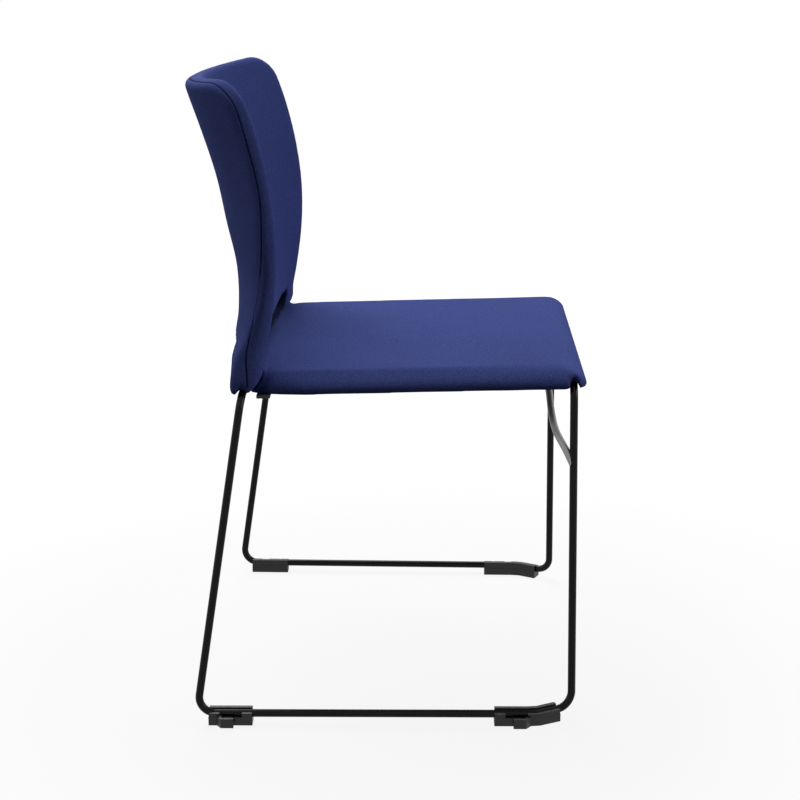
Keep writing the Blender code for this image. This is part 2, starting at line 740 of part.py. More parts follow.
def shell_rear_depth():
    return shell_front_depth() + SHELL_THICKNESS


def shell_route(column, growth, back_rows):
    """One line of the shell's middle, from the seat's front and up the back."""
    columns = BACK_DIVISIONS[0]
    depth = shell_top_depth() + SHELL_THICKNESS / 2
    back_depth = shell_front_depth() + SHELL_THICKNESS / 2

    def back_place(z):
        radius = BACK_CORNER_RADIUS - SHELL_EDGE_MARGIN
        half = back_half_width(z) - corner_cut(z, 0, shell_top_height() + growth, 0, radius)
        outer = min(half - SHELL_EDGE_MARGIN, SHELL_SEAT_HALF_WIDTH) + growth
        return back_point(column_place(half, outer, column, columns), z, back_depth)

    seat_x = (SHELL_SEAT_HALF_WIDTH + growth) * (2 * column / columns - 1)
    front = seat_point(seat_x, -SHELL_FRONT_REACH - growth, depth)
    foot = back_place(SLOT_BOTTOM_HEIGHT)
    rise = back_place(SLOT_TOP_HEIGHT) - foot
    level = seat_point(seat_x, REAR_TOP_SETBACK, depth).z
    corner = foot - rise * ((foot.z - level) / rise.z)
    bend = rounded_route((front, corner, foot + rise), (SHELL_BEND_RADIUS,), SHELL_BEND_STEPS)[:-1]
    route = [front.lerp(bend[1], step / SHELL_SEAT_ROWS) for step in range(SHELL_SEAT_ROWS)]
    route += bend[1:]
    start, top = bend[-1].z, shell_top_height() + growth
    for step in range(1, back_rows + 1):
        route.append(back_place(start + (top - start) * step / back_rows))
    return route


def shell_top_height():
    return BACK_TOP_HEIGHT - BACK_TOP_DIP - SHELL_EDGE_MARGIN


def shell_sheet(name, growth, outer_growth, back_rows, material=None):
    """A sheet bent like the shell, grown at its edges and on each side."""
    columns = BACK_DIVISIONS[0]
    bm = bmesh.new()
    lines = []
    for column in range(columns + 1):
        route = shell_route(column, growth, back_rows)
        lines.append([bm.verts.new(point) for point in route])
    for near, far in zip(lines, lines[1:]):
        for i in range(len(near) - 1):
            bm.faces.new((near[i], near[i + 1], far[i + 1], far[i]))
    sheet = finish_mesh(name, bm, material)
    solid = sheet.modifiers.new("sheet_thickness", "SOLIDIFY")
    inner = SHELL_THICKNESS / 2 + growth
    outer = SHELL_THICKNESS / 2 + outer_growth
    solid.thickness = inner + outer
    solid.offset = (inner - outer) / (inner + outer)
    solid.use_even_offset = True
    sheet.modifiers.new("flat_faces", "TRIANGULATE")
    return sheet


def build_shell(tools):
    """One moulded sheet: seat panel, bend and back panel, with the hand slot."""
    shell = shell_sheet("seat_and_back_shell", 0, 0, SHELL_BACK_ROWS, shell_plastic)
    cut(shell, tools["slot_foam"])
    for name, x, y in fixing_places():
        top = seat_point(x, y, shell_top_depth() - SHELL_THICKNESS)
        bottom = seat_point(x, y, shell_top_depth() + 2 * SHELL_THICKNESS)
        hole = cylinder("insert_hole_" + name, bottom, top, INSERT_DIAMETER / 2 + GAP, BORE_SIDES)
        cut(shell, hole)


def build_seat(tools):
    lining = FABRIC_THICKNESS
    top, *rings = [seat_slab(0, *SEAT_RING_SHARES[0], True)] + seat_rings(0)
    inner_top, *inner_rings = [seat_slab(lining, *SEAT_RING_SHARES[0], True)] + seat_rings(lining)
    lips = [seat_grid(SEAT_LIP_WIDTH, depth, *SEAT_DIVISIONS)
            for depth in (SEAT_PAD_DEPTH, SEAT_PAD_DEPTH - lining)]
    rings += lips + list(reversed(inner_rings))
    cover = padded_body("seat_cover", top, rings, inner_top, fabric)
    cut(cover, tools["back_space"], *tools["front_mouths"])
    inset = lining + GAP
    top, *rings = [seat_slab(inset, *SEAT_RING_SHARES[0], True)] + seat_rings(inset)
    pad = padded_body("seat_foam", top, rings[:-1], rings[-1], foam)
    cut(pad, tools["shell_room"], tools["back_space"], *tools["front_mouths"])


def fixing_places():
    """The four places where the shell is screwed to the frame."""
    reach = PLATE_LENGTH - SCREW_END_MARGIN
    rear = REAR_TOP_SETBACK - ROD_RADIUS - reach
    front = -FRONT_TOP_REACH + ROD_RADIUS + reach
    places = []
    for end, y in (("front", front), ("rear", rear)):
        for word, side in (("right", -1), ("left", 1)):
            places.append((end + "_" + word, side * PLATE_OFFSET, y))
    return places


def build_fixings():
    """Plates welded to the cross rods, with screws up into inserts in the shell."""
    plate_top = shell_top_depth() + SHELL_THICKNESS + GAP
    for name, x, y in fixing_places():
        forward = name.startswith("front")
        cross_y = -FRONT_TOP_REACH if forward else REAR_TOP_SETBACK
        sign = 1 if forward else -1
        near_y = cross_y + sign * (ROD_RADIUS + GAP)
        far_y = cross_y + sign * (ROD_RADIUS + PLATE_LENGTH)
        plate = box(
            name + "_seat_plate",
            (x - PLATE_WIDTH / 2, min(near_y, far_y), -plate_top - PLATE_THICKNESS),
            (x + PLATE_WIDTH / 2, max(near_y, far_y), -plate_top),
            steel,
        )
        plate.rotation_euler = (-SEAT_SLOPE, 0, 0)
        plate.location = (0, 0, SEAT_HEIGHT)
        hole_low = seat_point(x, y, plate_top + PLATE_THICKNESS + CUT_OVERRUN)
        hole_high = seat_point(x, y, plate_top - PLATE_THICKNESS)
        bore = SCREW_DIAMETER / 2 + GAP
        cut(plate, cylinder("plate_hole_" + name, hole_low, hole_high, bore, SCREW_SIDES))
        insert_low = seat_point(x, y, plate_top - GAP)
        insert_high = seat_point(x, y, shell_top_depth())
        insert = cylinder(
            name + "_insert", insert_low, insert_high, INSERT_DIAMETER / 2, BORE_SIDES, zinc
        )
        bore_high = seat_point(x, y, shell_top_depth() - SHELL_THICKNESS)
        cut(insert, cylinder("insert_bore_" + name, hole_low, bore_high, bore, BORE_SIDES))
        head_top = plate_top + PLATE_THICKNESS + GAP
        turned_screw(name + "_seat_screw", x, y, head_top)


def turned_screw(name, x, y, head_top):
    """A pan-head screw, turned from its profile and pointing up."""
    shank, head = SCREW_DIAMETER / 2, SCREW_HEAD_DIAMETER / 2
    tip = head_top - shell_top_depth() - GAP * 2
    crown, rim = SCREW_CROWN_SHARE, SCREW_RIM_SHARE
    outline = (
        (0, -SCREW_HEAD_HEIGHT), (head * crown, -SCREW_HEAD_HEIGHT),
        (head, -SCREW_HEAD_HEIGHT * rim), (head, 0), (shank, 0), (shank, tip - shank / 2),
        (shank * crown, tip), (0, tip),
    )
    bm = bmesh.new()
    verts = [bm.verts.new((radius, 0, height)) for radius, height in outline]
    edges = [bm.edges.new(pair) for pair in zip(verts, verts[1:])]
    bmesh.ops.spin(
        bm, geom=verts + edges, angle=2 * math.pi, steps=SCREW_SIDES, axis=(0, 0, 1), cent=(0, 0, 0),
        use_merge=True,
    )
    screw = finish_mesh(name, bm, zinc)
    screw.location = seat_point(x, y, head_top)
    screw.rotation_euler = (-SEAT_SLOPE, 0, 0)
    return screw


def build_tray():
    """A shallow moulded cover that closes the underside between the fixings."""
    top = shell_top_depth() + SHELL_THICKNESS + GAP

    def tray_box(name, shrink, low, high, material=None):
        body = box(
            name,
            (-TRAY_HALF_WIDTH + shrink, -TRAY_FRONT_REACH + shrink, low),
            (TRAY_HALF_WIDTH - shrink, TRAY_REAR_REACH - shrink, high),
            material,
        )
        bm = bmesh.new()
        bm.from_mesh(body.data)
        upright = [e for e in bm.edges if abs(e.verts[0].co.z - e.verts[1].co.z) > GAP]
        bmesh.ops.bevel(
            bm, geom=upright, offset=TRAY_CORNER_RADIUS - shrink, offset_type="OFFSET",
            segments=CORNER_STEPS, profile=0.5, affect="EDGES", material=-1,
        )
        bm.to_mesh(body.data)
        bm.free()
        body.rotation_euler = (-SEAT_SLOPE, 0, 0)
        body.location = (0, 0, SEAT_HEIGHT)
        return body

    tray = tray_box("under_seat_cover", 0, -top - TRAY_DEPTH, -top, plastic)
    hollow = tray_box("tray_hollow", TRAY_WALL, -top - TRAY_DEPTH + TRAY_WALL, CUT_OVERRUN - top)
    cut(tray, hollow)
    bevel(tray, TRAY_WALL * TRAY_EDGE_SHARE, angle=60)


def build_bumpers():
    """Stacking bumpers on the shell's underside, which reach out below the seat pad."""
    top = shell_top_depth() + SHELL_THICKNESS + GAP
    pad_top = SEAT_PAD_DEPTH + GAP
    bottom = pad_top + BUMPER_PAD_HEIGHT
    far = SEAT_REAR_REACH - SEAT_LIP_WIDTH - FOAM_GAP
    near = far - BUMPER_LENGTH
    for side, word in ((-1, "right"), (1, "left")):
        edges = [side * x for x in (BUMPER_STEM_INNER, SHELL_SEAT_HALF_WIDTH, BUMPER_OUTER)]
        stem = box(
            word + "_stem", (min(edges[0], edges[1]), near, -bottom),
            (max(edges[0], edges[1]), far, -top),
        )
        pad = box(
            word + "_pad", (min(edges[0], edges[2]), near, -bottom),
            (max(edges[0], edges[2]), far, -pad_top),
        )
        bumper = joined(word + "_stacking_bumper", [stem, pad], plastic)
        bumper.rotation_euler = (-SEAT_SLOPE, 0, 0)
        bumper.location = (0, 0, SEAT_HEIGHT)
        for tool in (stem, pad):
            tool.rotation_euler = (-SEAT_SLOPE, 0, 0)
            tool.location = (0, 0, SEAT_HEIGHT)
        bevel(bumper, BUMPER_PAD_HEIGHT * BUMPER_EDGE_SHARE)


def joined(name, pieces, material):
    """One closed body from overlapping ones."""
    body = copy_of(pieces[0], name, material)
    return cut(body, *pieces[1:], operation="UNION")


def runner_line(side):
    """The floor run of a side frame's rod, from rear to front."""
    return [p for p in side_route(side) if abs(p.z - FOOT_ROD_HEIGHT) < GAP]


def runner_place(line, start_y, run):
    """The rod's centre, and its forward direction, at a run forward of start_y."""
    left = line[0].y - start_y + run
    for near, far in zip(line, line[1:]):
        length = (far - near).length
        if left <= length or far is line[-1]:
            return near.lerp(far, left / length), (far - near).normalized()
        left -= length


def glide_prism(name, side, start_y, plan, heights):
    """A flat-topped body over an outline of places along the runner and out from it."""
    line = runner_line(side)
    bm = bmesh.new()
    corners = []
    for run, out in plan:
        centre, forward = runner_place(line, start_y, run)
        corners.append(centre + Vector((forward.y, -forward.x, 0)) * -side * out)
    low, high = ([bm.verts.new((p.x, p.y, z)) for p in corners] for z in heights)
    bm.faces.new(low)
    bm.faces.new(high)
    for i in range(len(low)):
        bm.faces.new((low[i], low[i - 1], high[i - 1], high[i]))
    return finish_mesh(name, bm, None)


def glide_bar(name, side, start_y, run, out, heights, steps=1):
    """A bar that follows the runner: its run along it and its width out from it."""
    places = [run[0] + (run[1] - run[0]) * step / steps for step in range(steps + 1)]
    plan = [(place, out[0]) for place in places] + [(place, out[1]) for place in reversed(places)]
    return glide_prism(name, side, start_y, plan, heights)


def build_glide(name, side, start_y, hook_first, last_length, steps):
    """A clip-on glide: sole, inner flange, two outer blocks and a linking hook."""
    half = ROD_RADIUS + GLIDE_WALL
    mid = ROD_RADIUS / 2
    first_end = GLIDE_BLOCK_LENGTH
    hook_start = first_end if hook_first else first_end + GLIDE_NOTCH_LENGTH
    hook_end = hook_start + GLIDE_HOOK_LENGTH
    last_start = first_end + GLIDE_NOTCH_LENGTH + GLIDE_HOOK_LENGTH
    end = last_start + last_length
    base = GLIDE_WALL / 2
    reach = half + GLIDE_HOOK_REACH

    def bar(word, run, out, height, count=1):
        return glide_bar(name + word, side, start_y, run, out, height, count)

    step = GLIDE_STEP
    sole = bar("_sole", (0, end), (-half, half), (0, FOOT_ROD_HEIGHT - mid), steps)
    flange = bar(
        "_flange", (step, end - step), (step - half, -mid), (base, GLIDE_FLANGE_HEIGHT), steps
    )
    first = bar("_first", (step, first_end), (mid, half - step), (base, GLIDE_SIDE_HEIGHT))
    last = bar(
        "_last", (last_start, end - step), (mid, half - step), (base, GLIDE_SIDE_HEIGHT), steps
    )
    if hook_first:
        root, tip, forward = hook_start - GLIDE_ROOT_SETBACK, hook_end, 1
    else:
        root, tip, forward = hook_end + GLIDE_ROOT_SETBACK, hook_start, -1
    elbow = root + forward * GLIDE_ARM_LENGTH
    inner = reach - GLIDE_HOOK_THICKNESS
    plan = (
        (root, half - base), (elbow, reach), (tip, reach), (tip, inner),
        (elbow + forward * GLIDE_STEP, inner), (elbow, half - base),
    )
    hook = glide_prism(name + "_hook", side, start_y, plan, (GLIDE_STEP, GLIDE_HOOK_HEIGHT))
    glide = joined(name, [sole, flange, first, last, hook], plastic)
    cut(glide, rod(name + "_channel", side_route(side), ROD_RADIUS + GAP))
    return bevel(glide, GLIDE_STEP, 1, 50)


def toe_length():
    """How far the front glide's last block reaches: to where the rod turns upwards."""
    corner = Vector((FRONT_FOOT_HALF_WIDTH, -FRONT_FOOT_REACH, 0))
    knee = Vector((TOE_IN_HALF_WIDTH, -TOE_IN_REACH, 0))
    straight = (corner - knee).length - FOOT_BEND_RADIUS
    used = GLIDE_BLOCK_LENGTH + GLIDE_NOTCH_LENGTH + GLIDE_HOOK_LENGTH
    return TOE_IN_REACH - FRONT_GLIDE_START - used + straight - GAP


def build_glides():
    for side, word in ((-1, "right"), (1, "left")):
        build_glide("rear_" + word + "_glide", side, REAR_GLIDE_START, side < 0,
                    GLIDE_TAIL_LENGTH, 1)
        build_glide("front_" + word + "_glide", side, -FRONT_GLIDE_START, side > 0,
                    toe_length(), TOE_STEPS)


def main():
    tools = build_cutters()
    build_frame()
    build_arch()
    build_shell(tools)
    build_back(tools)
    build_seat(tools)
    build_fixings()
    build_tray()
    build_bumpers()
    build_glides()


for old in list(bpy.data.objects):
    bpy.data.objects.remove(old)

parts = collection("stacking_shell_chair")
cutters = collection("cutters")
steel = material("black_coated_steel", (0.012, 0.012, 0.013), 0.32, 0.3)
fabric = material("blue_upholstery_fabric", (0.030, 0.042, 0.200), 0.95)
foam = material("seat_foam", (0.62, 0.60, 0.52), 1.0)
plastic = material("black_plastic", (0.010, 0.010, 0.011), 0.5)
shell_plastic = material("grey_moulded_shell", (0.10, 0.10, 0.11), 0.6)
zinc = material("zinc_plated_steel", (0.55, 0.56, 0.58), 0.35, 1.0)

main()
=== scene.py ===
"""An upholstered stacking shell chair on a black rod sled base, dressed over its CAD frame.

Metres, +Z up. The chair faces -Y, its sitter's right is -X, and the floor is Z = 0.
"""

import math

import bmesh
import bpy
from mathutils import Matrix, Vector
from mathutils.bvhtree import BVHTree
from mathutils.kdtree import KDTree


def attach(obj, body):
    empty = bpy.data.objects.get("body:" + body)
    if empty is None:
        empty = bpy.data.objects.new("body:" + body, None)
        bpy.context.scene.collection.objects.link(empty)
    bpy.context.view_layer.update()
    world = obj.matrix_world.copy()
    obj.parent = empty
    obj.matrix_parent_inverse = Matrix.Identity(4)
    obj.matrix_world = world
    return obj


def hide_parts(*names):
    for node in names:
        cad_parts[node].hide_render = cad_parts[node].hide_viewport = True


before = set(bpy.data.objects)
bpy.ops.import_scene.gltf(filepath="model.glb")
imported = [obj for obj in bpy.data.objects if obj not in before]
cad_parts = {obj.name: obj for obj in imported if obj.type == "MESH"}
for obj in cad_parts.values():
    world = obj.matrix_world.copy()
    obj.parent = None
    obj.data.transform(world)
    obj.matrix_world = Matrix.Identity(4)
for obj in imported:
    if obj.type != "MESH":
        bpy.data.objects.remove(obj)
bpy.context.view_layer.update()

# Camera
CAMERA_PLACE = Vector((-2.2128, -0.0727, 0.9902))
CAMERA_YAW = 0.0238195
CAMERA_PITCH = 0.279057
CAMERA_ROLL = -0.0020534
FOCAL_PIXELS = 1680
IMAGE_PIXELS = 800
SENSOR_WIDTH = 36.0

# Rods
ROD_RADIUS = 0.005
MOUNT_PLATE_THICKNESS = 0.0028
FOOT_ROD_HEIGHT = 0.0135
REAR_TOP = (0.2427, 0.1690)
REAR_FOOT = (0.2624, 0.2345)
TOE_IN = (0.2568, -0.1992)
FRONT_FOOT = (0.2331, -0.2459)
FRONT_TOP = (0.2164, -0.2397)
FOOT_BEND_RADIUS = 0.021
TOP_BEND_RADIUS = 0.022
TOE_BEND_RADIUS = 0.030
CROSS_ROD_HALF_LENGTH = 0.150
ROD_GAP = 0.0003
ROD_SIDES = 32
BEND_STEPS = 14

# Arched brace
ARCH_RADIUS = 0.0045
ARCH_FOOT_HEIGHT = 0.3345
ARCH_RISE = 0.0735
ARCH_SETBACK = 0.0255
ARCH_HALF_WIDTH = 0.2150
ARCH_STEPS = 9
ARCH_SHARES = (
    (1.000, 0.40, 0.28), (0.930, 0.82, 0.52), (0.815, 1.00, 0.74), (0.510, 1.00, 0.92),
    (0.000, 1.00, 1.00),
)

# Seat
SEAT_HEIGHT = 0.4526
SEAT_SLOPE = math.radians(1.575)
SEAT_HALF_WIDTH = 0.2280
SEAT_FRONT_REACH = 0.2562
SEAT_REAR_REACH = 0.1640
SEAT_CORNER_RADIUS = 0.019
SEAT_LEAST_CORNER = 0.004
SEAT_PAD_DEPTH = 0.0266
SEAT_FRONT_ROLL = 0.045
SEAT_SIDE_ROLL = 0.0335
SEAT_LIP_WIDTH = 0.003
SEAT_ROLL_BLEND = (0.06, 0.45)
SEAT_HEEL_BLEND = (0.74, 0.93)
SEAT_CROWN = 0.002
SHELL_DEPTH = 0.0125
SHELL_HALF_WIDTH = 0.1960
RECESS_HALF_WIDTH = 0.1985
RECESS_FRONT_REACH = 0.2470
RECESS_REAR_REACH = 0.1530
RECESS_CORNER_RADIUS = 0.022
RECESS_CORNER_STEPS = 6

# The rolled edge's shares of its width and depth: at the front, at the side and by the heel
SEAT_FRONT_SHARES = (
    (1.00, 0.00), (0.80, 0.015), (0.60, 0.06), (0.40, 0.16), (0.24, 0.30),
    (0.10, 0.48), (0.02, 0.65), (0.00, 0.75), (0.03, 0.87), (0.13, 0.95),
)
SEAT_SIDE_SHARES = (
    (1.00, 0.00), (0.94, 0.02), (0.83, 0.09), (0.64, 0.22), (0.45, 0.36),
    (0.30, 0.50), (0.21, 0.64), (0.19, 0.77), (0.24, 0.89), (0.36, 1.00),
)
SEAT_HEEL_SHARES = (
    (1.00, 0.00), (0.96, 0.02), (0.91, 0.08), (0.86, 0.18), (0.81, 0.31),
    (0.76, 0.45), (0.71, 0.60), (0.67, 0.75), (0.66, 0.89), (0.69, 1.00),
)

# Back
BACK_BOTTOM_HEIGHT = 0.4265
BACK_TOP_HEIGHT = 0.8112
BACK_TOP_DIP = 0.0095
BACK_HALF_WIDTH = 0.2040
BACK_WRAP_DEPTH = 0.0730
BACK_FOOT_SETBACK = 0.1506
BACK_FOOT_RECLINE = math.radians(5.9)
BACK_SPINE_RADIUS = 1.56
BACK_THICKNESS = 0.0255
BACK_HEEL_THICKNESS = 0.0420
BACK_CORNER_RADIUS = 0.034
BACK_HEEL_CORNER_RADIUS = 0.014
BACK_REAR_ROUND = 0.0100
BACK_LEVELS = (0.00, 0.04, 0.075, 0.12, 0.20, 0.35, 0.50, 0.65, 0.80, 0.92, 1.00)
BACK_WRAP_SHARES = (-0.18, 0.05, 0.18, 0.245, 0.415, 0.665, 0.835, 0.945, 1.000, 0.990, 0.940)
BACK_WIDTH_SHARES = (1.20, 1.168, 1.135, 1.09, 1.03, 1.010, 1.020, 1.000, 0.985, 0.980, 0.975)
BACK_HEEL_SHARES = (-0.28, 0.60, 0.97, 0.92, 0.44, 0.00, 0.04, -0.09, -0.02, 0.04, 0.04)
SEAM_DEPTH_SHARES = (0.27, 0.38, 0.52, 0.64, 0.93, 1.02, 0.88, 0.80, 0.80, 0.69, 0.66)
BACK_FRONT_ROUNDS = (
    0.005, 0.010, 0.018, 0.022, 0.020, 0.015, 0.011, 0.0095, 0.0095, 0.0095, 0.0095,
)
BACK_BULGE = 0.0065
BACK_BULGE_SHARES = (1.00, 1.00, 1.00, 1.00, 0.75, 0.25, 0.00, 0.00, 0.00, 0.00, 0.00)
TOP_DIP_POWER = 6

# Hand slot
SLOT_HALF_WIDTH = 0.1680
SLOT_BOTTOM_HEIGHT = 0.4500
SLOT_TOP_HEIGHT = 0.4760
SLOT_CORNER_SHARE = 0.42
SLOT_CORNER_STEPS = 8
SHELL_SLOT_GAP = 0.0020
# Painted shade inside the hand slot, fading out towards its middle
SLOT_SHADE_DEPTH = 0.003
SLOT_PAINTED_SHADE = 0.85
SLOT_SHADE_BLEND = (0.01, 0.06)
SLOT_SHADE_MARGIN = 0.001

# Upholstery work
COLUMNS = 64
MIDDLE_ROWS = 56
CORNER_ROWS = 8
LAST_ROW = 2 * CORNER_ROWS + MIDDLE_ROWS
EDGE_STEPS = 5
BAND_STEPS = 4
BACK_LAYERS = 2 * EDGE_STEPS + BAND_STEPS
SETTLE_ROUNDS = 3
VOXEL = 0.0026
RIPPLE_PASSES = 3
INNER_CORNER_PASSES = 18
INNER_CORNER_HALF_WIDTH = 0.185
INNER_CORNER_HEIGHTS = (0.436, 0.500)
INNER_CORNER_DEPTHS = (-0.016, 0.010)
INNER_CORNER_RISE = 0.016

# Pits in the upholstery where the rods go in
PIT_RADIUS = 0.0075
PIT_SIDES = 20
PIT_INNER_END = 0.004
PIT_END_SHARE = 0.2
FRONT_PIT_OPENING = (0.0100, 0.0062, 0.0115)
FRONT_PIT_SHIFT = (0.0050, 0.0)
REAR_PIT_OPENING = (0.0120, 0.0064, 0.0130)
REAR_PIT_SHIFT = (0.0020, 0.0040)

# Seam and creases, pressed in and painted near-black as painted shade in their grooves
SEAM_WIDTH = 0.0010
SEAM_DEPTH = 0.0016
SEAM_SHADE = 1.3
SEAM_PULL_WIDTH = 0.0110
SEAM_PULL_DEPTH = 0.0015
SEAM_REACH = 3 * SEAM_PULL_WIDTH
SEAM_FINE_REACHES = (0.0055, 0.0026)
SEAM_LINE_STEPS = 8
CREASE_SMOOTHING = 40

# Eased edges of the moulded and stamped pieces
GLIDE_EASE = 0.0014
PLATE_EASE = 0.0004
COVER_EASE = 0.0005
EASE_STEPS = 2
EASE_ANGLE = math.radians(30)
FLAT_ANGLE = math.radians(2)

FINE_STEP = 1e-4
SAME_PLACE = 1e-5

# Colours
CLOTH_COLOUR = (0.058, 0.079, 0.268)
# Near-black painted shade for the seam groove, the creases by the wings and the hand slot
PAINTED_SHADE_COLOUR = (0.006, 0.007, 0.016)

# Stage and light; each lamp has its name, place, target, size and radiance
FLOOR_REACH = 40
FLOOR_SHADE = 0.10
# Painted shadow: the floor's glow is dimmed within the inner reach round the chair and is full
# past the outer reach
PAINTED_SHADOW_GLOW = 0.88
PAINTED_SHADOW_INNER = 0.45
PAINTED_SHADOW_OUTER = 1.60
FLOOR_BOUNCE = 0.10
AMBIENT = 0.07
LAMPS = (
    ("overhead_light", (1.2, 0.5, 2.2), (0, 0, 0.45), (1.6, 2.6), 4.2),
    ("front_light", (-0.2, -2.6, 1.2), (0, 0, 0.6), (1.6, 1.6), 3.4),
    ("rear_light", (-0.2, 2.8, 1.2), (0, 0, 0.6), (1.6, 1.6), 1.1),
    ("near_light", (-0.9, 0.5, 1.3), (-0.2, 0.2, 0.74), (0.4, 0.4), 1.8),
)


# ---- shape helpers


def smooth_value(levels, shares, level):
    """Smooth value of a table at a level between 0 and 1."""
    level = min(max(level, 0.0), 1.0)
    last = len(levels) - 1
    index = 0
    while index < last - 1 and level > levels[index + 1]:
        index += 1
    low, high = levels[index], levels[index + 1]
    before, after = max(index - 1, 0), min(index + 2, last)
    span = high - low
    slope_low = (shares[index + 1] - shares[before]) / (high - levels[before])
    slope_high = (shares[after] - shares[index]) / (levels[after] - low)
    t = (level - low) / span
    return (
        shares[index] * (2 * t**3 - 3 * t**2 + 1)
        + slope_low * span * (t**3 - 2 * t**2 + t)
        + shares[index + 1] * (3 * t**2 - 2 * t**3)
        + slope_high * span * (t**3 - t**2)
    )


def back_value(shares, z):
    level = (z - BACK_BOTTOM_HEIGHT) / (BACK_TOP_HEIGHT - BACK_BOTTOM_HEIGHT)
    return smooth_value(BACK_LEVELS, shares, level)


def back_half_width(z):
    return BACK_HALF_WIDTH * back_value(BACK_WIDTH_SHARES, z)


def back_thickness(z):
    extra = BACK_HEEL_THICKNESS - BACK_THICKNESS
    return BACK_THICKNESS + extra * back_value(BACK_HEEL_SHARES, z)


def back_front_y(x, z):
    """The sitter's side of the back: a reclined spine with wings that wrap forward."""
    rise = z - BACK_BOTTOM_HEIGHT
    spine = BACK_FOOT_SETBACK + rise * math.tan(BACK_FOOT_RECLINE)
    spine += rise**2 / (2 * BACK_SPINE_RADIUS)
    wrap = BACK_WRAP_DEPTH * back_value(BACK_WRAP_SHARES, z)
    return spine - wrap * (x / back_half_width(z)) ** 2


def back_point(x, z, depth):
    """A point that lies depth behind the back's front surface, square to its spine."""
    step = FINE_STEP
    slope_x = (back_front_y(x + step, z) - back_front_y(x - step, z)) / (2 * step)
    slope_z = (back_front_y(0, z + step) - back_front_y(0, z - step)) / (2 * step)
    normal = Vector((-slope_x, 1, -slope_z)).normalized()
    return Vector((x, back_front_y(x, z), z)) + normal * depth


def seat_top(y):
    return SEAT_HEIGHT - y * math.tan(SEAT_SLOPE)


def panel_row(index, start, end, start_radius, end_radius):
    """A row's place along a panel, and how far a rounded corner draws it in."""
    if index < CORNER_ROWS:
        angle = math.pi / 2 * index / CORNER_ROWS
        return start + start_radius * (1 - math.cos(angle)), start_radius * (1 - math.sin(angle))
    if index > LAST_ROW - CORNER_ROWS:
        angle = math.pi / 2 * (LAST_ROW - index) / CORNER_ROWS
        return end - end_radius * (1 - math.cos(angle)), end_radius * (1 - math.sin(angle))
    share = (index - CORNER_ROWS) / MIDDLE_ROWS
    low, high = start + start_radius, end - end_radius
    return low + (high - low) * share, 0.0


def block(size=(1, 1, 1), middle=(0, 0, 0)):
    """A plain block of the given size round its middle."""
    bm = bmesh.new()
    bmesh.ops.create_cube(bm, size=1)
    bmesh.ops.scale(bm, vec=size, verts=bm.verts)
    bmesh.ops.translate(bm, vec=middle, verts=bm.verts)
    return bm


def edges_along(bm, axis):
    """A block's edges that run along one axis."""
    return [
        edge for edge in bm.edges
        if abs(edge.verts[0].co[axis] - edge.verts[1].co[axis]) > FINE_STEP
    ]


def round_edges(bm, edges, radius, steps):
    bmesh.ops.bevel(
        bm, geom=edges, offset=radius, offset_type="OFFSET", segments=steps,
        profile=0.5, affect="EDGES", material=-1,
    )


def divided_block(counts):
    """A unit block, cut into a number of parts along each axis."""
    bm = block()
    for axis, parts in enumerate(counts):
        along = edges_along(bm, axis)
        bmesh.ops.subdivide_edges(bm, edges=along, cuts=parts - 1, use_grid_fill=True)
    return bm


def grid_place(vert, counts):
    """Which part of a divided block a vertex lies at, along each axis."""
    return [round((vert.co[axis] + 0.5) * counts[axis]) for axis in range(3)]


def rounded_edge(depth, thickness, front_round):
    """How far in from the outline a place at a depth lies, on the rounded edges."""
    reach = max(front_round - depth, 0) / front_round
    rear_reach = max(BACK_REAR_ROUND - thickness + depth, 0) / BACK_REAR_ROUND
    inset = front_round * (1 - math.sqrt(max(1 - reach**2, 0)))
    return inset + BACK_REAR_ROUND * (1 - math.sqrt(max(1 - rear_reach**2, 0)))


def ring_depth(layer, thickness, front_round):
    """A layer's depth behind the front surface."""
    if layer <= EDGE_STEPS:
        return front_round * (1 - math.cos(math.pi / 2 * layer / EDGE_STEPS))
    if layer >= BACK_LAYERS - EDGE_STEPS:
        angle = math.pi / 2 * (BACK_LAYERS - layer) / EDGE_STEPS
        return thickness - BACK_REAR_ROUND * (1 - math.cos(angle))
    share = (layer - EDGE_STEPS) / BAND_STEPS
    return front_round * (1 - share) + (thickness - BACK_REAR_ROUND) * share


def back_place(across, row, layer=None):
    """A place on the back's body, from its column share, its row and its layer.

    With no layer it is a place on the seam.
    """
    inset = 0.0
    for _ in range(SETTLE_ROUNDS):
        low_radius = max(BACK_HEEL_CORNER_RADIUS - inset, 0)
        bottom, top = BACK_BOTTOM_HEIGHT + inset, BACK_TOP_HEIGHT - inset
        z, drawn_in = panel_row(row, bottom, top, low_radius, BACK_CORNER_RADIUS - inset)
        thickness, front_round = back_thickness(z), back_value(BACK_FRONT_ROUNDS, z)
        if layer is None:
            depth = thickness * back_value(SEAM_DEPTH_SHARES, z)
        else:
            depth = ring_depth(layer, thickness, front_round)
        inset = rounded_edge(depth, thickness, front_round)
    x = across * (back_half_width(z) - inset - drawn_in)
    level = (z - BACK_BOTTOM_HEIGHT) / (BACK_TOP_HEIGHT - BACK_BOTTOM_HEIGHT)
    z -= BACK_TOP_DIP * (1 - (x / BACK_HALF_WIDTH) ** 2) * max(level, 0) ** TOP_DIP_POWER
    place = back_point(x, z, depth)
    middle = max(1 - (x / back_half_width(z)) ** 2, 0) ** 3
    bulge = BACK_BULGE * back_value(BACK_BULGE_SHARES, z) * middle
    place.y -= bulge * (1 - depth / thickness)
    return place


def make_back():
    """The upholstered back, which wraps forward at its sides and thickens to its heels."""
    counts = (COLUMNS, BACK_LAYERS, LAST_ROW)
    bm = divided_block(counts)
    for vert in bm.verts:
        column, layer, row = grid_place(vert, counts)
        vert.co = back_place(2 * column / COLUMNS - 1, row, layer)
    return bm


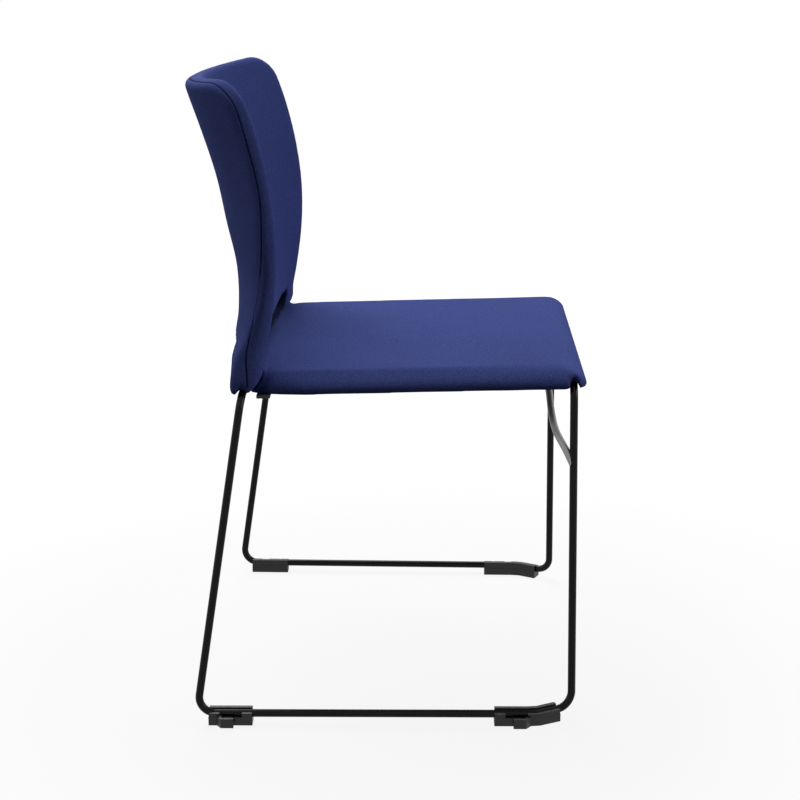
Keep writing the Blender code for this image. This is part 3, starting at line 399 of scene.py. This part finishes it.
def make_seat():
    """The seat pad, with a rolled edge round its front and sides."""
    front_ring = edge_ring(SEAT_FRONT_SHARES, SEAT_FRONT_ROLL)
    side_ring = edge_ring(SEAT_SIDE_SHARES, SEAT_SIDE_ROLL)
    heel_ring = edge_ring(SEAT_HEEL_SHARES, SEAT_SIDE_ROLL)
    layers = len(front_ring)
    counts = (COLUMNS, LAST_ROW, layers)
    bm = divided_block(counts)
    for vert in bm.verts:
        column, row, layer = grid_place(vert, counts)
        layer = layers - layer
        step = min(layer, layers - 1)
        rearward = row / LAST_ROW
        place = front_ring[step].lerp(side_ring[step], blend(rearward, *SEAT_ROLL_BLEND))
        inset, sink = place.lerp(heel_ring[step], blend(rearward, *SEAT_HEEL_BLEND))
        if layer == layers:
            inset += SEAT_LIP_WIDTH
        front, rear = -SEAT_FRONT_REACH + inset, SEAT_REAR_REACH
        corner = max(SEAT_CORNER_RADIUS - inset, SEAT_LEAST_CORNER)
        y, drawn_in = panel_row(row, front, rear, corner, 0)
        half = SEAT_HALF_WIDTH - inset - drawn_in
        x = half * (2 * column / COLUMNS - 1)
        if layer == 0:
            across = 1 - (x / half) ** 2
            along = 1 - ((2 * y - front - rear) / (rear - front)) ** 2
            sink -= SEAT_CROWN * max(across, 0) * max(along, 0)
        vert.co = (x, y, seat_top(y) - sink)
    return bm


def edge_ring(shares, roll_width):
    """How far in and down each step of a rolled edge lies."""
    knots = [Vector((roll_width * width, SEAT_PAD_DEPTH * depth)) for width, depth in shares]
    return smooth_route(knots, EDGE_STEPS)


def blend(value, low, high):
    """A soft step from 0 at low to 1 at high."""
    t = min(max((value - low) / (high - low), 0), 1)
    return t * t * (3 - 2 * t)


def smooth_route(knots, steps):
    """A smooth route through every knot."""
    last = len(knots) - 1
    route = []
    for index in range(last):
        before, low, high = knots[max(index - 1, 0)], knots[index], knots[index + 1]
        after = knots[min(index + 2, last)]
        for step in range(steps):
            t = step / steps
            route.append(
                (low * 2 + (high - before) * t
                 + (before * 2 - low * 5 + high * 4 - after) * t**2
                 + (low * 3 - before - high * 3 + after) * t**3) / 2
            )
    route.append(knots[-1])
    return route


def mirrored(place):
    """The same place on the chair's other side."""
    return Vector((-place.x, place.y, place.z))


def rounded_route(corners, radii):
    """A route through corners, with an arc of the given radius at each inner corner."""
    corners = [Vector(corner) for corner in corners]
    route = [corners[0]]
    for before, corner, after, radius in zip(corners, corners[1:], corners[2:], radii):
        arrive, leave = (before - corner).normalized(), (after - corner).normalized()
        half = arrive.angle(leave) / 2
        centre = corner + (arrive + leave).normalized() * (radius / math.sin(half))
        start = corner + arrive * (radius / math.tan(half)) - centre
        end = corner + leave * (radius / math.tan(half)) - centre
        sweep = start.angle(end)
        for step in range(BEND_STEPS + 1):
            share = step / BEND_STEPS
            arm = start * math.sin((1 - share) * sweep) + end * math.sin(share * sweep)
            route.append(centre + arm / math.sin(sweep))
    route.append(corners[-1])
    return route


def bar_mesh(route, radius, sides=ROD_SIDES):
    """A round bar pushed out along a route, turning with it."""
    bm = bmesh.new()
    heading = (route[1] - route[0]).normalized()
    made = bmesh.ops.create_circle(bm, cap_ends=True, segments=sides, radius=radius)
    turn = Vector((0, 0, 1)).rotation_difference(heading).to_matrix().to_4x4()
    bmesh.ops.transform(bm, matrix=Matrix.Translation(route[0]) @ turn, verts=made["verts"])
    ring = list(bm.edges)
    for index in range(1, len(route)):
        ahead = route[min(index + 1, len(route) - 1)]
        aim = (ahead - route[index - 1]).normalized()
        moved = bmesh.ops.extrude_edge_only(bm, edges=ring)["geom"]
        ring = [item for item in moved if isinstance(item, bmesh.types.BMEdge)]
        verts = [item for item in moved if isinstance(item, bmesh.types.BMVert)]
        turn = heading.rotation_difference(aim).to_matrix().to_4x4()
        place = Matrix.Translation(route[index]) @ turn @ Matrix.Translation(-route[index - 1])
        bmesh.ops.transform(bm, matrix=place, verts=verts)
        heading = aim
    bmesh.ops.holes_fill(bm, edges=ring, sides=0)
    bmesh.ops.recalc_face_normals(bm, faces=bm.faces)
    return bm


def new_piece(name, bm, finish=None, smooth=True):
    """A mesh object from a bmesh, linked to the scene."""
    mesh = bpy.data.meshes.new(name)
    if smooth:
        for face in bm.faces:
            face.smooth = True
    bm.to_mesh(mesh)
    bm.free()
    piece = bpy.data.objects.new(name, mesh)
    bpy.context.scene.collection.objects.link(piece)
    if finish:
        mesh.materials.append(finish)
    return piece


def apply_modifiers(piece):
    """Makes the piece's modifiers part of its mesh."""
    depsgraph = bpy.context.evaluated_depsgraph_get()
    mesh = bpy.data.meshes.new_from_object(piece.evaluated_get(depsgraph))
    piece.modifiers.clear()
    old = piece.data
    piece.data = mesh
    bpy.data.meshes.remove(old)


def combine(piece, others, operation="DIFFERENCE"):
    """Cuts other pieces out of a piece, or joins them to it, and removes them."""
    for other in others:
        modifier = piece.modifiers.new(other.name, "BOOLEAN")
        modifier.operation = operation
        modifier.solver = "EXACT"
        modifier.object = other
    apply_modifiers(piece)
    for other in others:
        bpy.data.objects.remove(other)


# ---- materials


def add_node(tree, kind, **values):
    """A node with its inputs set or linked, by name."""
    made = tree.nodes.new(kind)
    for name, value in values.items():
        if hasattr(made, name):
            setattr(made, name, value)
            continue
        socket = made.inputs[name.replace("_", " ")]
        if isinstance(value, bpy.types.NodeSocket):
            tree.links.new(value, socket)
        else:
            socket.default_value = value
    return made


def add_math(tree, operation, first, second):
    """The outcome of a sum on a socket and a socket or a number."""
    made = add_node(tree, "ShaderNodeMath", operation=operation)
    tree.links.new(first, made.inputs[0])
    if isinstance(second, bpy.types.NodeSocket):
        tree.links.new(second, made.inputs[1])
    else:
        made.inputs[1].default_value = second
    return made.outputs[0]


def new_material(name, colour, roughness, **settings):
    made = bpy.data.materials.new(name)
    made.use_nodes = True
    shader = made.node_tree.nodes["Principled BSDF"]
    shader.inputs["Base Color"].default_value = (*colour, 1)
    shader.inputs["Roughness"].default_value = roughness
    for key, value in settings.items():
        shader.inputs[key.replace("_", " ")].default_value = value
    return made, made.node_tree, shader


def make_grain_group():
    """Fine uneven grain: a speckle mask, a soft mottle mask and a height."""
    tree = bpy.data.node_groups.new("fine_grain", "ShaderNodeTree")
    tree.interface.new_socket("Scale", in_out="INPUT", socket_type="NodeSocketFloat")
    for word in ("Speckle", "Mottle", "Height"):
        tree.interface.new_socket(word, in_out="OUTPUT", socket_type="NodeSocketFloat")
    entry = tree.nodes.new("NodeGroupInput")
    leave = tree.nodes.new("NodeGroupOutput")
    place = add_node(tree, "ShaderNodeTexCoord").outputs["Object"]
    scale = entry.outputs["Scale"]
    cells = add_node(tree, "ShaderNodeTexVoronoi", feature="SMOOTH_F1", Vector=place, Scale=scale)
    fuzz = add_node(
        tree, "ShaderNodeTexNoise", Vector=place, Scale=scale, Detail=3.0, Roughness=0.65
    )
    broad_scale = add_math(tree, "MULTIPLY", scale, 0.012)
    broad = add_node(tree, "ShaderNodeTexNoise", Vector=place, Scale=broad_scale, Detail=4.0)
    mixed = add_math(tree, "ADD", cells.outputs["Distance"], fuzz.outputs["Fac"])
    tree.links.new(fuzz.outputs["Fac"], leave.inputs["Speckle"])
    tree.links.new(broad.outputs["Fac"], leave.inputs["Mottle"])
    tree.links.new(mixed, leave.inputs["Height"])
    return tree


grain = make_grain_group()


def place_grain(tree, scale):
    made = tree.nodes.new("ShaderNodeGroup")
    made.node_tree = grain
    made.inputs["Scale"].default_value = scale
    return made


def add_bump(tree, shader, height, distance, strength):
    bump = add_node(tree, "ShaderNodeBump", Strength=strength, Distance=distance, Height=height)
    tree.links.new(bump.outputs["Normal"], shader.inputs["Normal"])


def vary_roughness(tree, shader, share, low, high):
    rough = add_node(tree, "ShaderNodeMapRange", Value=share, To_Min=low, To_Max=high)
    tree.links.new(rough.outputs["Result"], shader.inputs["Roughness"])


def mix_colour(tree, share, low, high, blend_type="MIX"):
    mix = tree.nodes.new("ShaderNodeMix")
    mix.data_type, mix.blend_type = "RGBA", blend_type
    for socket, value in ((0, share), (6, low), (7, high)):
        if isinstance(value, bpy.types.NodeSocket):
            tree.links.new(value, mix.inputs[socket])
        else:
            mix.inputs[socket].default_value = (*value, 1) if socket else value
    return mix.outputs[2]


def tinted(colour, share):
    return [part * share for part in colour]


def ramp(tree, share, low, high):
    """A share stretched so that low becomes 0 and high becomes 1."""
    made = add_node(tree, "ShaderNodeMapRange", From_Min=low, From_Max=high, Value=share)
    return made.outputs["Result"]


def make_cloth():
    """Blue crepe upholstery cloth: pebbled grain, light heather and a soft sheen."""
    made, tree, shader = new_material(
        "blue_upholstery_cloth", CLOTH_COLOUR, 0.82,
        Sheen_Weight=0.06, Sheen_Roughness=0.40, Sheen_Tint=(0.30, 0.36, 0.90, 1),
        Specular_IOR_Level=0.02,
    )
    weave = place_grain(tree, 760.0)
    heather = mix_colour(
        tree, ramp(tree, weave.outputs["Speckle"], 0.38, 0.62),
        tinted(CLOTH_COLOUR, 0.76), tinted(CLOTH_COLOUR, 1.24),
    )
    uneven = mix_colour(
        tree, ramp(tree, weave.outputs["Mottle"], 0.30, 0.70), [0.955] * 3, [1.045] * 3
    )
    toned = mix_colour(tree, 1, heather, uneven, "MULTIPLY")
    # The seam attribute mixes in painted shade: the seam groove, the creases by the wings and the
    # hand slot go near-black.
    seam = add_node(tree, "ShaderNodeAttribute", attribute_name="seam")
    shaded = mix_colour(tree, seam.outputs["Fac"], toned, PAINTED_SHADE_COLOUR)
    tree.links.new(shaded, shader.inputs["Base Color"])
    add_bump(tree, shader, weave.outputs["Height"], 0.0007, 0.85)
    return made


def make_enamel():
    """Black gloss powder coat with a faint orange peel."""
    made, tree, shader = new_material(
        "black_enamel", (0.004, 0.004, 0.004), 0.26, Specular_IOR_Level=0.13
    )
    peel = place_grain(tree, 260.0)
    vary_roughness(tree, shader, peel.outputs["Mottle"], 0.16, 0.28)
    add_bump(tree, shader, peel.outputs["Height"], 0.00006, 0.25)
    return made


def make_plastic(name, colour, roughness, scale):
    """Moulded plastic with a fine spark-eroded texture."""
    made, tree, shader = new_material(name, colour, roughness, Specular_IOR_Level=0.4)
    skin = place_grain(tree, scale)
    tone = mix_colour(
        tree, ramp(tree, skin.outputs["Mottle"], 0.35, 0.65),
        tinted(colour, 0.85), tinted(colour, 1.15),
    )
    tree.links.new(tone, shader.inputs["Base Color"])
    vary_roughness(
        tree, shader, skin.outputs["Speckle"], roughness - 0.08, roughness + 0.08
    )
    add_bump(tree, shader, skin.outputs["Height"], 0.0001, 0.35)
    return made


def make_metal(name, colour, smoothest, roughest):
    """Bare or plated steel with faint handling marks; for the arch, a grey that paints in the
    reflections on its black enamel.
    """
    made, tree, shader = new_material(name, colour, smoothest, Metallic=1.0)
    wear = place_grain(tree, 600.0)
    vary_roughness(tree, shader, wear.outputs["Mottle"], smoothest, roughest)
    add_bump(tree, shader, wear.outputs["Height"], 0.00005, 0.3)
    return made


cloth = make_cloth()
enamel = make_enamel()
glide_plastic = make_plastic("glide_plastic", (0.005, 0.005, 0.005), 0.42, 900.0)
under_plastic = make_plastic("under_cover_plastic", (0.016, 0.016, 0.017), 0.58, 700.0)
shell_plastic = make_plastic("shell_plastic", (0.030, 0.031, 0.033), 0.62, 500.0)
zinc = make_metal("zinc_plate", (0.52, 0.53, 0.55), 0.25, 0.50)
# The arch is black enamel like the rods; its light grey metal is a painted reflection of its
# surroundings.
arch_painted_reflection = make_metal("arch_painted_reflection", (0.27, 0.27, 0.275), 0.50, 0.65)


# ---- rods


def rod_height(y):
    """The height of a seat rod's middle, below the shell and its mount plates."""
    return seat_top(y) - SHELL_DEPTH - MOUNT_PLATE_THICKNESS - ROD_RADIUS


def rod_place(corner, side, height):
    return Vector((side * corner[0], corner[1], height))


def side_corners(side, inner):
    """The corners of a side rod's route, from inside the heel to under the seat's front."""
    rear, front = rod_height(REAR_TOP[1]), rod_height(FRONT_TOP[1])
    return [
        rod_place((inner, REAR_TOP[1]), side, rear),
        rod_place(REAR_TOP, side, rear),
        rod_place(REAR_FOOT, side, FOOT_ROD_HEIGHT),
        rod_place(TOE_IN, side, FOOT_ROD_HEIGHT),
        rod_place(FRONT_FOOT, side, FOOT_ROD_HEIGHT),
        rod_place(FRONT_TOP, side, front),
        rod_place((inner, FRONT_TOP[1]), side, front),
    ]


def make_frame():
    """The two bent side rods and the two straight rods that join them."""
    radii = (
        TOP_BEND_RADIUS, FOOT_BEND_RADIUS, TOE_BEND_RADIUS, FOOT_BEND_RADIUS, TOP_BEND_RADIUS,
    )
    for side, word in ((-1, "right"), (1, "left")):
        corners = side_corners(side, CROSS_ROD_HALF_LENGTH + ROD_GAP)
        bar = bar_mesh(rounded_route(corners, radii), ROD_RADIUS)
        rod = new_piece(word + "_side_rod", bar, enamel)
        show(rod, "black_coated_steel", word + "_side_frame")
    for word, (_, y) in (("rear", REAR_TOP), ("front", FRONT_TOP)):
        end = (CROSS_ROD_HALF_LENGTH, y)
        ends = [rod_place(end, side, rod_height(y)) for side in (-1, 1)]
        rod = new_piece(word + "_seat_rod", bar_mesh(ends, ROD_RADIUS), enamel)
        show(rod, "black_coated_steel", word + "_cross_rod")


def make_arch():
    """A bow between the front legs, rising to a flat crown behind them."""
    foot = rod_place(FRONT_FOOT, -1, FOOT_ROD_HEIGHT)
    top = rod_place(FRONT_TOP, -1, rod_height(FRONT_TOP[1]))
    leg = foot.lerp(top, (ARCH_FOOT_HEIGHT - foot.z) / (top.z - foot.z))
    half = [leg]
    for across, back, up in ARCH_SHARES:
        half.append(Vector((
            -ARCH_HALF_WIDTH * across, leg.y + ARCH_SETBACK * back,
            ARCH_FOOT_HEIGHT + ARCH_RISE * up,
        )))
    knots = half + [mirrored(knot) for knot in reversed(half[:-1])]
    route = smooth_route(knots, ARCH_STEPS)
    start = (route[0] - route[1]).normalized()
    route[0] = leg - start * ROD_RADIUS / 2
    route[-1] = mirrored(route[0])
    arch = new_piece("arch_rod", bar_mesh(route, ARCH_RADIUS), arch_painted_reflection)
    show(arch, "black_coated_steel", "arch_brace")


def show(piece, slot, *nodes):
    """Put a piece on the chair, in place of its CAD nodes."""
    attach(piece, "root")
    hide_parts(*nodes)


# ---- upholstery


def make_slot_tool(gap=0.0):
    """The hand slot's opening, or one that is a gap larger all round."""
    height = SLOT_TOP_HEIGHT - SLOT_BOTTOM_HEIGHT + 2 * gap
    bm = block(
        (2 * (SLOT_HALF_WIDTH + gap), 2 * (BACK_HEEL_THICKNESS + BACK_THICKNESS), height),
        (0, BACK_FOOT_SETBACK + BACK_THICKNESS, (SLOT_TOP_HEIGHT + SLOT_BOTTOM_HEIGHT) / 2),
    )
    round_edges(bm, edges_along(bm, 1), height * SLOT_CORNER_SHARE, SLOT_CORNER_STEPS)
    return new_piece("slot_tool", bm)


def make_recess_tool():
    """The hollow under the seat, up to the middle of the shell."""
    bm = block(
        (2 * RECESS_HALF_WIDTH, RECESS_FRONT_REACH + RECESS_REAR_REACH, SEAT_PAD_DEPTH),
        (0, (RECESS_REAR_REACH - RECESS_FRONT_REACH) / 2, -SHELL_DEPTH - SEAT_PAD_DEPTH / 2),
    )
    round_edges(bm, edges_along(bm, 2), RECESS_CORNER_RADIUS, RECESS_CORNER_STEPS)
    for vert in bm.verts:
        vert.co.z += seat_top(vert.co.y)
    return new_piece("recess_tool", bm)


def make_pit_tools():
    """Room round the rods where they go into the upholstery."""
    tools = []
    for side in (-1, 1):
        corners = side_corners(side, PIT_INNER_END)
        for word, three, size, shift in (
            ("rear", corners[:3], REAR_PIT_OPENING, REAR_PIT_SHIFT),
            ("front", corners[4:][::-1], FRONT_PIT_OPENING, FRONT_PIT_SHIFT),
        ):
            route = rounded_route(three, (TOP_BEND_RADIUS,))
            route[-1] = route[-2].lerp(route[-1], PIT_END_SHARE)
            tools.append(new_piece(word + "_pit_tool", bar_mesh(route, PIT_RADIUS, PIT_SIDES)))
            opening = bmesh.new()
            bmesh.ops.create_uvsphere(opening, u_segments=24, v_segments=16, radius=1)
            bmesh.ops.scale(opening, vec=size, verts=opening.verts)
            place = three[1] + Vector((side * shift[0], 0, shift[1]))
            bmesh.ops.translate(opening, vec=place, verts=opening.verts)
            tools.append(new_piece(word + "_pit_opening", opening))
    return tools


def seam_line():
    """The seam's places, from one heel up round the top and down to the other."""
    fine = SEAM_LINE_STEPS
    side = [back_place(-1, step / fine) for step in range(LAST_ROW * fine + 1)]
    top = [
        back_place(-1 + 2 * step / (COLUMNS * fine), LAST_ROW)
        for step in range(COLUMNS * fine + 1)
    ]
    return side + top + [mirrored(place) for place in reversed(side)]


def crease_line(side):
    """Where the side of the seat meets the front of a wing."""
    line = []
    for inset, sink in edge_ring(SEAT_HEEL_SHARES, SEAT_SIDE_ROLL):
        x = side * (SEAT_HALF_WIDTH - inset)
        y = BACK_FOOT_SETBACK
        for _ in range(SETTLE_ROUNDS):
            z = seat_top(y) - sink
            y = back_front_y(x, z)
        line.append(Vector((x, y, z)))
    return line


def make_upholstery():
    """Seat and back as one padded form, with its slot, its pits and its seam."""
    body = new_piece("upholstered_shell", make_back())
    combine(body, [make_slot_tool()])
    seat = new_piece("seat_block", make_seat())
    combine(seat, [make_recess_tool()])
    combine(body, [seat], "UNION")
    combine(body, make_pit_tools())
    remesh = body.modifiers.new("even_mesh", "REMESH")
    remesh.mode = "VOXEL"
    remesh.voxel_size = VOXEL
    apply_modifiers(body)
    bm = bmesh.new()
    bm.from_mesh(body.data)
    soften(bm)
    press_seam(bm)
    shade_slot(bm)
    for face in bm.faces:
        face.smooth = True
    bm.to_mesh(body.data)
    bm.free()
    body.data.materials.append(cloth)
    return body


def smooth_verts(bm, verts, passes):
    for _ in range(passes):
        bmesh.ops.smooth_vert(
            bm, verts=verts, factor=0.5, use_axis_x=True, use_axis_y=True, use_axis_z=True
        )


def soften(bm):
    """Takes the remesh's ripple out, and rounds the inner corner of seat and back."""
    smooth_verts(bm, bm.verts, RIPPLE_PASSES)
    lowest, highest = INNER_CORNER_HEIGHTS
    nearest, deepest = INNER_CORNER_DEPTHS
    corner = []
    for vert in bm.verts:
        x, y, z = vert.co
        if abs(x) > INNER_CORNER_HALF_WIDTH or z < lowest or z > highest:
            continue
        low = z - seat_top(y) < INNER_CORNER_RISE
        if low and nearest < y - back_front_y(x, z) < deepest:
            corner.append(vert)
    smooth_verts(bm, corner, INNER_CORNER_PASSES)


def press_seam(bm):
    """Refines the mesh along the seam and the creases by the wings, presses them in, and paints
    shade into their grooves.
    """
    surface = BVHTree.FromBMesh(bm)
    line = seam_line()
    for side in (-1, 1):
        crease = [surface.find_nearest(place)[0] for place in crease_line(side)]
        for _ in range(CREASE_SMOOTHING):
            crease[1:-1] = [
                (before + place * 2 + after) / 4
                for before, place, after in zip(crease, crease[1:], crease[2:])
            ]
        line += [surface.find_nearest(place)[0] for place in crease]
    tree = KDTree(len(line))
    for index, place in enumerate(line):
        tree.insert(place, index)
    tree.balance()
    for reach in SEAM_FINE_REACHES:
        near = {vert for vert in bm.verts if tree.find(vert.co)[2] < reach}
        edges = [e for e in bm.edges if e.verts[0] in near and e.verts[1] in near]
        bmesh.ops.subdivide_edges(bm, edges=edges, cuts=1, use_grid_fill=True)
    bmesh.ops.triangulate(bm, faces=[f for f in bm.faces if len(f.verts) > 4])
    bm.normal_update()
    layer = bm.verts.layers.float.new("seam")
    moves = []
    for vert in bm.verts:
        distance = tree.find(vert.co)[2]
        if distance > SEAM_REACH:
            continue
        groove = math.exp(-((distance / SEAM_WIDTH) ** 2))
        pull = math.exp(-((distance / SEAM_PULL_WIDTH) ** 2))
        # Painted shade: the groove's darkness is written into the seam attribute.
        vert[layer] = min(groove * SEAM_SHADE, 1.0)
        moves.append((vert, -vert.normal * (groove * SEAM_DEPTH + pull * SEAM_PULL_DEPTH)))
    for vert, move in moves:
        vert.co += move


def shade_slot(bm):
    """Paints shade into the hand slot's inside, darkest towards the slot's ends."""
    layer = bm.verts.layers.float["seam"]
    bottom, top = SLOT_BOTTOM_HEIGHT - SLOT_SHADE_MARGIN, SLOT_TOP_HEIGHT + SLOT_SHADE_MARGIN
    for vert in bm.verts:
        x, y, z = vert.co
        deep = y - back_front_y(x, z) > SLOT_SHADE_DEPTH
        if deep and bottom < z < top and abs(x) < SLOT_HALF_WIDTH + SLOT_SHADE_MARGIN:
            vert[layer] = max(vert[layer], SLOT_PAINTED_SHADE * blend(abs(x), *SLOT_SHADE_BLEND))


upholstery = make_upholstery()
show(
    upholstery, "blue_upholstery_fabric", "back_front_cover", "back_rear_cover",
    "hand_slot_lining", "seat_cover", "back_foam", "back_rear_foam", "heel_foam", "seat_foam",
)
make_frame()
make_arch()


# ---- fittings that keep their CAD shape, with softened edges


def eased_copy(name, node, finish, slot, width):
    """A CAD node's shape with its edges eased."""
    bm = bmesh.new()
    bm.from_mesh(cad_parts[node].data)
    bmesh.ops.remove_doubles(bm, verts=bm.verts, dist=SAME_PLACE)
    bmesh.ops.dissolve_limit(
        bm, angle_limit=FLAT_ANGLE, verts=bm.verts, edges=bm.edges, delimit={"NORMAL"}
    )
    piece = new_piece(name, bm, finish)
    bevel = piece.modifiers.new("eased_edges", "BEVEL")
    bevel.width = width
    bevel.segments = EASE_STEPS
    bevel.limit_method = "ANGLE"
    bevel.angle_limit = EASE_ANGLE
    normals = piece.modifiers.new("even_shading", "WEIGHTED_NORMAL")
    normals.keep_sharp = True
    show(piece, slot, node)


def repaint(node, finish):
    """Gives a CAD node that stays a better finish."""
    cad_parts[node].data.materials.clear()
    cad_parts[node].data.materials.append(finish)


def make_shell():
    """The moulded shell, cut back all round the hand slot."""
    bm = bmesh.new()
    bm.from_mesh(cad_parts["seat_and_back_shell"].data)
    for vert in bm.verts:
        if vert.co.z < seat_top(vert.co.y):
            vert.co.x = min(max(vert.co.x, -SHELL_HALF_WIDTH), SHELL_HALF_WIDTH)
    shell = new_piece("moulded_shell", bm, shell_plastic, smooth=False)
    combine(shell, [make_slot_tool(SHELL_SLOT_GAP)])
    show(shell, "grey_moulded_shell", "seat_and_back_shell")


for end in ("front", "rear"):
    for word in ("right", "left"):
        stem = end + "_" + word
        eased_copy(
            stem + "_floor_glide", stem + "_glide", glide_plastic, "black_plastic", GLIDE_EASE
        )
        eased_copy(
            stem + "_mount_plate", stem + "_seat_plate", enamel, "black_coated_steel", PLATE_EASE
        )
        repaint(stem + "_seat_screw", zinc)
        repaint(stem + "_insert", zinc)
for word in ("right", "left"):
    eased_copy(
        word + "_bumper", word + "_stacking_bumper", under_plastic, "black_plastic", COVER_EASE
    )
eased_copy("under_cover", "under_seat_cover", under_plastic, "black_plastic", COVER_EASE)
make_shell()


# ---- stage, light and camera


def diffuse(tree, shade):
    made = tree.nodes.new("ShaderNodeBsdfDiffuse")
    made.inputs["Color"].default_value = (shade, shade, shade, 1)
    return made


def make_stage():
    """A wide floor that rays from the camera and reflections see as pale, with real diffuse shade
    and its glow dimmed round the chair as a painted shadow.
    """
    bm = bmesh.new()
    bmesh.ops.create_grid(bm, x_segments=1, y_segments=1, size=FLOOR_REACH)
    floor = new_piece("floor", bm)
    made = bpy.data.materials.new("pale_floor")
    made.use_nodes = True
    tree = made.node_tree
    tree.nodes.clear()
    place = tree.nodes.new("ShaderNodeTexCoord")
    reach = add_node(tree, "ShaderNodeVectorMath", operation="LENGTH")
    tree.links.new(place.outputs["Object"], reach.inputs[0])
    # Painted shadow: the glow dims towards the chair
    painted_shadow = add_node(
        tree, "ShaderNodeMapRange", Value=reach.outputs["Value"], From_Min=PAINTED_SHADOW_INNER,
        From_Max=PAINTED_SHADOW_OUTER, To_Min=PAINTED_SHADOW_GLOW, To_Max=1.0,
    )
    glow = add_node(tree, "ShaderNodeEmission", Strength=painted_shadow.outputs["Result"])
    seen = tree.nodes.new("ShaderNodeAddShader")
    tree.links.new(diffuse(tree, FLOOR_SHADE).outputs[0], seen.inputs[0])
    tree.links.new(glow.outputs[0], seen.inputs[1])
    mix = tree.nodes.new("ShaderNodeMixShader")
    tree.links.new(bright_ray(tree), mix.inputs[0])
    tree.links.new(diffuse(tree, FLOOR_BOUNCE).outputs[0], mix.inputs[1])
    tree.links.new(seen.outputs[0], mix.inputs[2])
    out = tree.nodes.new("ShaderNodeOutputMaterial")
    tree.links.new(mix.outputs[0], out.inputs[0])
    floor.data.materials.append(made)


def bright_ray(tree):
    """1 for rays that see the background: camera, glossy and transmission rays."""
    path = tree.nodes.new("ShaderNodeLightPath")
    total = path.outputs["Is Camera Ray"]
    for name in ("Is Glossy Ray", "Is Transmission Ray"):
        total = add_math(tree, "MAXIMUM", total, path.outputs[name])
    return total


def make_world():
    """A white surround that lights the chair faintly."""
    world = bpy.data.worlds.new("studio")
    bpy.context.scene.world = world
    world.use_nodes = True
    tree = world.node_tree
    background = tree.nodes["Background"]
    background.inputs["Color"].default_value = (1, 1, 1, 1)
    strength = add_node(
        tree, "ShaderNodeMapRange", Value=bright_ray(tree), To_Min=AMBIENT, To_Max=1.0
    )
    tree.links.new(strength.outputs["Result"], background.inputs["Strength"])


def add_softbox(name, place, target, size, radiance):
    """A soft light of a given size and brightness that faces a target."""
    light = bpy.data.lights.new(name, "AREA")
    light.shape = "RECTANGLE"
    light.size, light.size_y = size
    light.energy = radiance * math.pi * size[0] * size[1]
    lamp = bpy.data.objects.new(name, light)
    lamp.location = place
    lamp.rotation_mode = "QUATERNION"
    lamp.rotation_quaternion = (Vector(target) - Vector(place)).to_track_quat("-Z", "Y")
    bpy.context.scene.collection.objects.link(lamp)


def make_camera():
    """The photograph's own view, turned by its yaw, pitch and roll."""
    aim = Vector((
        math.cos(CAMERA_PITCH) * math.cos(CAMERA_YAW),
        math.cos(CAMERA_PITCH) * math.sin(CAMERA_YAW),
        -math.sin(CAMERA_PITCH),
    ))
    level = Vector((math.sin(CAMERA_YAW), -math.cos(CAMERA_YAW), 0))
    upright = level.cross(aim)
    right = level * math.cos(CAMERA_ROLL) + upright * math.sin(CAMERA_ROLL)
    up = upright * math.cos(CAMERA_ROLL) - level * math.sin(CAMERA_ROLL)
    data = bpy.data.cameras.new("camera")
    data.sensor_width = SENSOR_WIDTH
    data.lens = SENSOR_WIDTH * FOCAL_PIXELS / IMAGE_PIXELS
    camera = bpy.data.objects.new("camera", data)
    turn = Matrix((right, up, -aim)).transposed()
    camera.matrix_world = Matrix.Translation(CAMERA_PLACE) @ turn.to_4x4()
    bpy.context.scene.collection.objects.link(camera)
    bpy.context.scene.camera = camera


make_stage()
make_world()
for lamp in LAMPS:
    add_softbox(*lamp)
make_camera()

scene = bpy.context.scene
scene.view_settings.view_transform = "Standard"

bpy.context.view_layer.update()
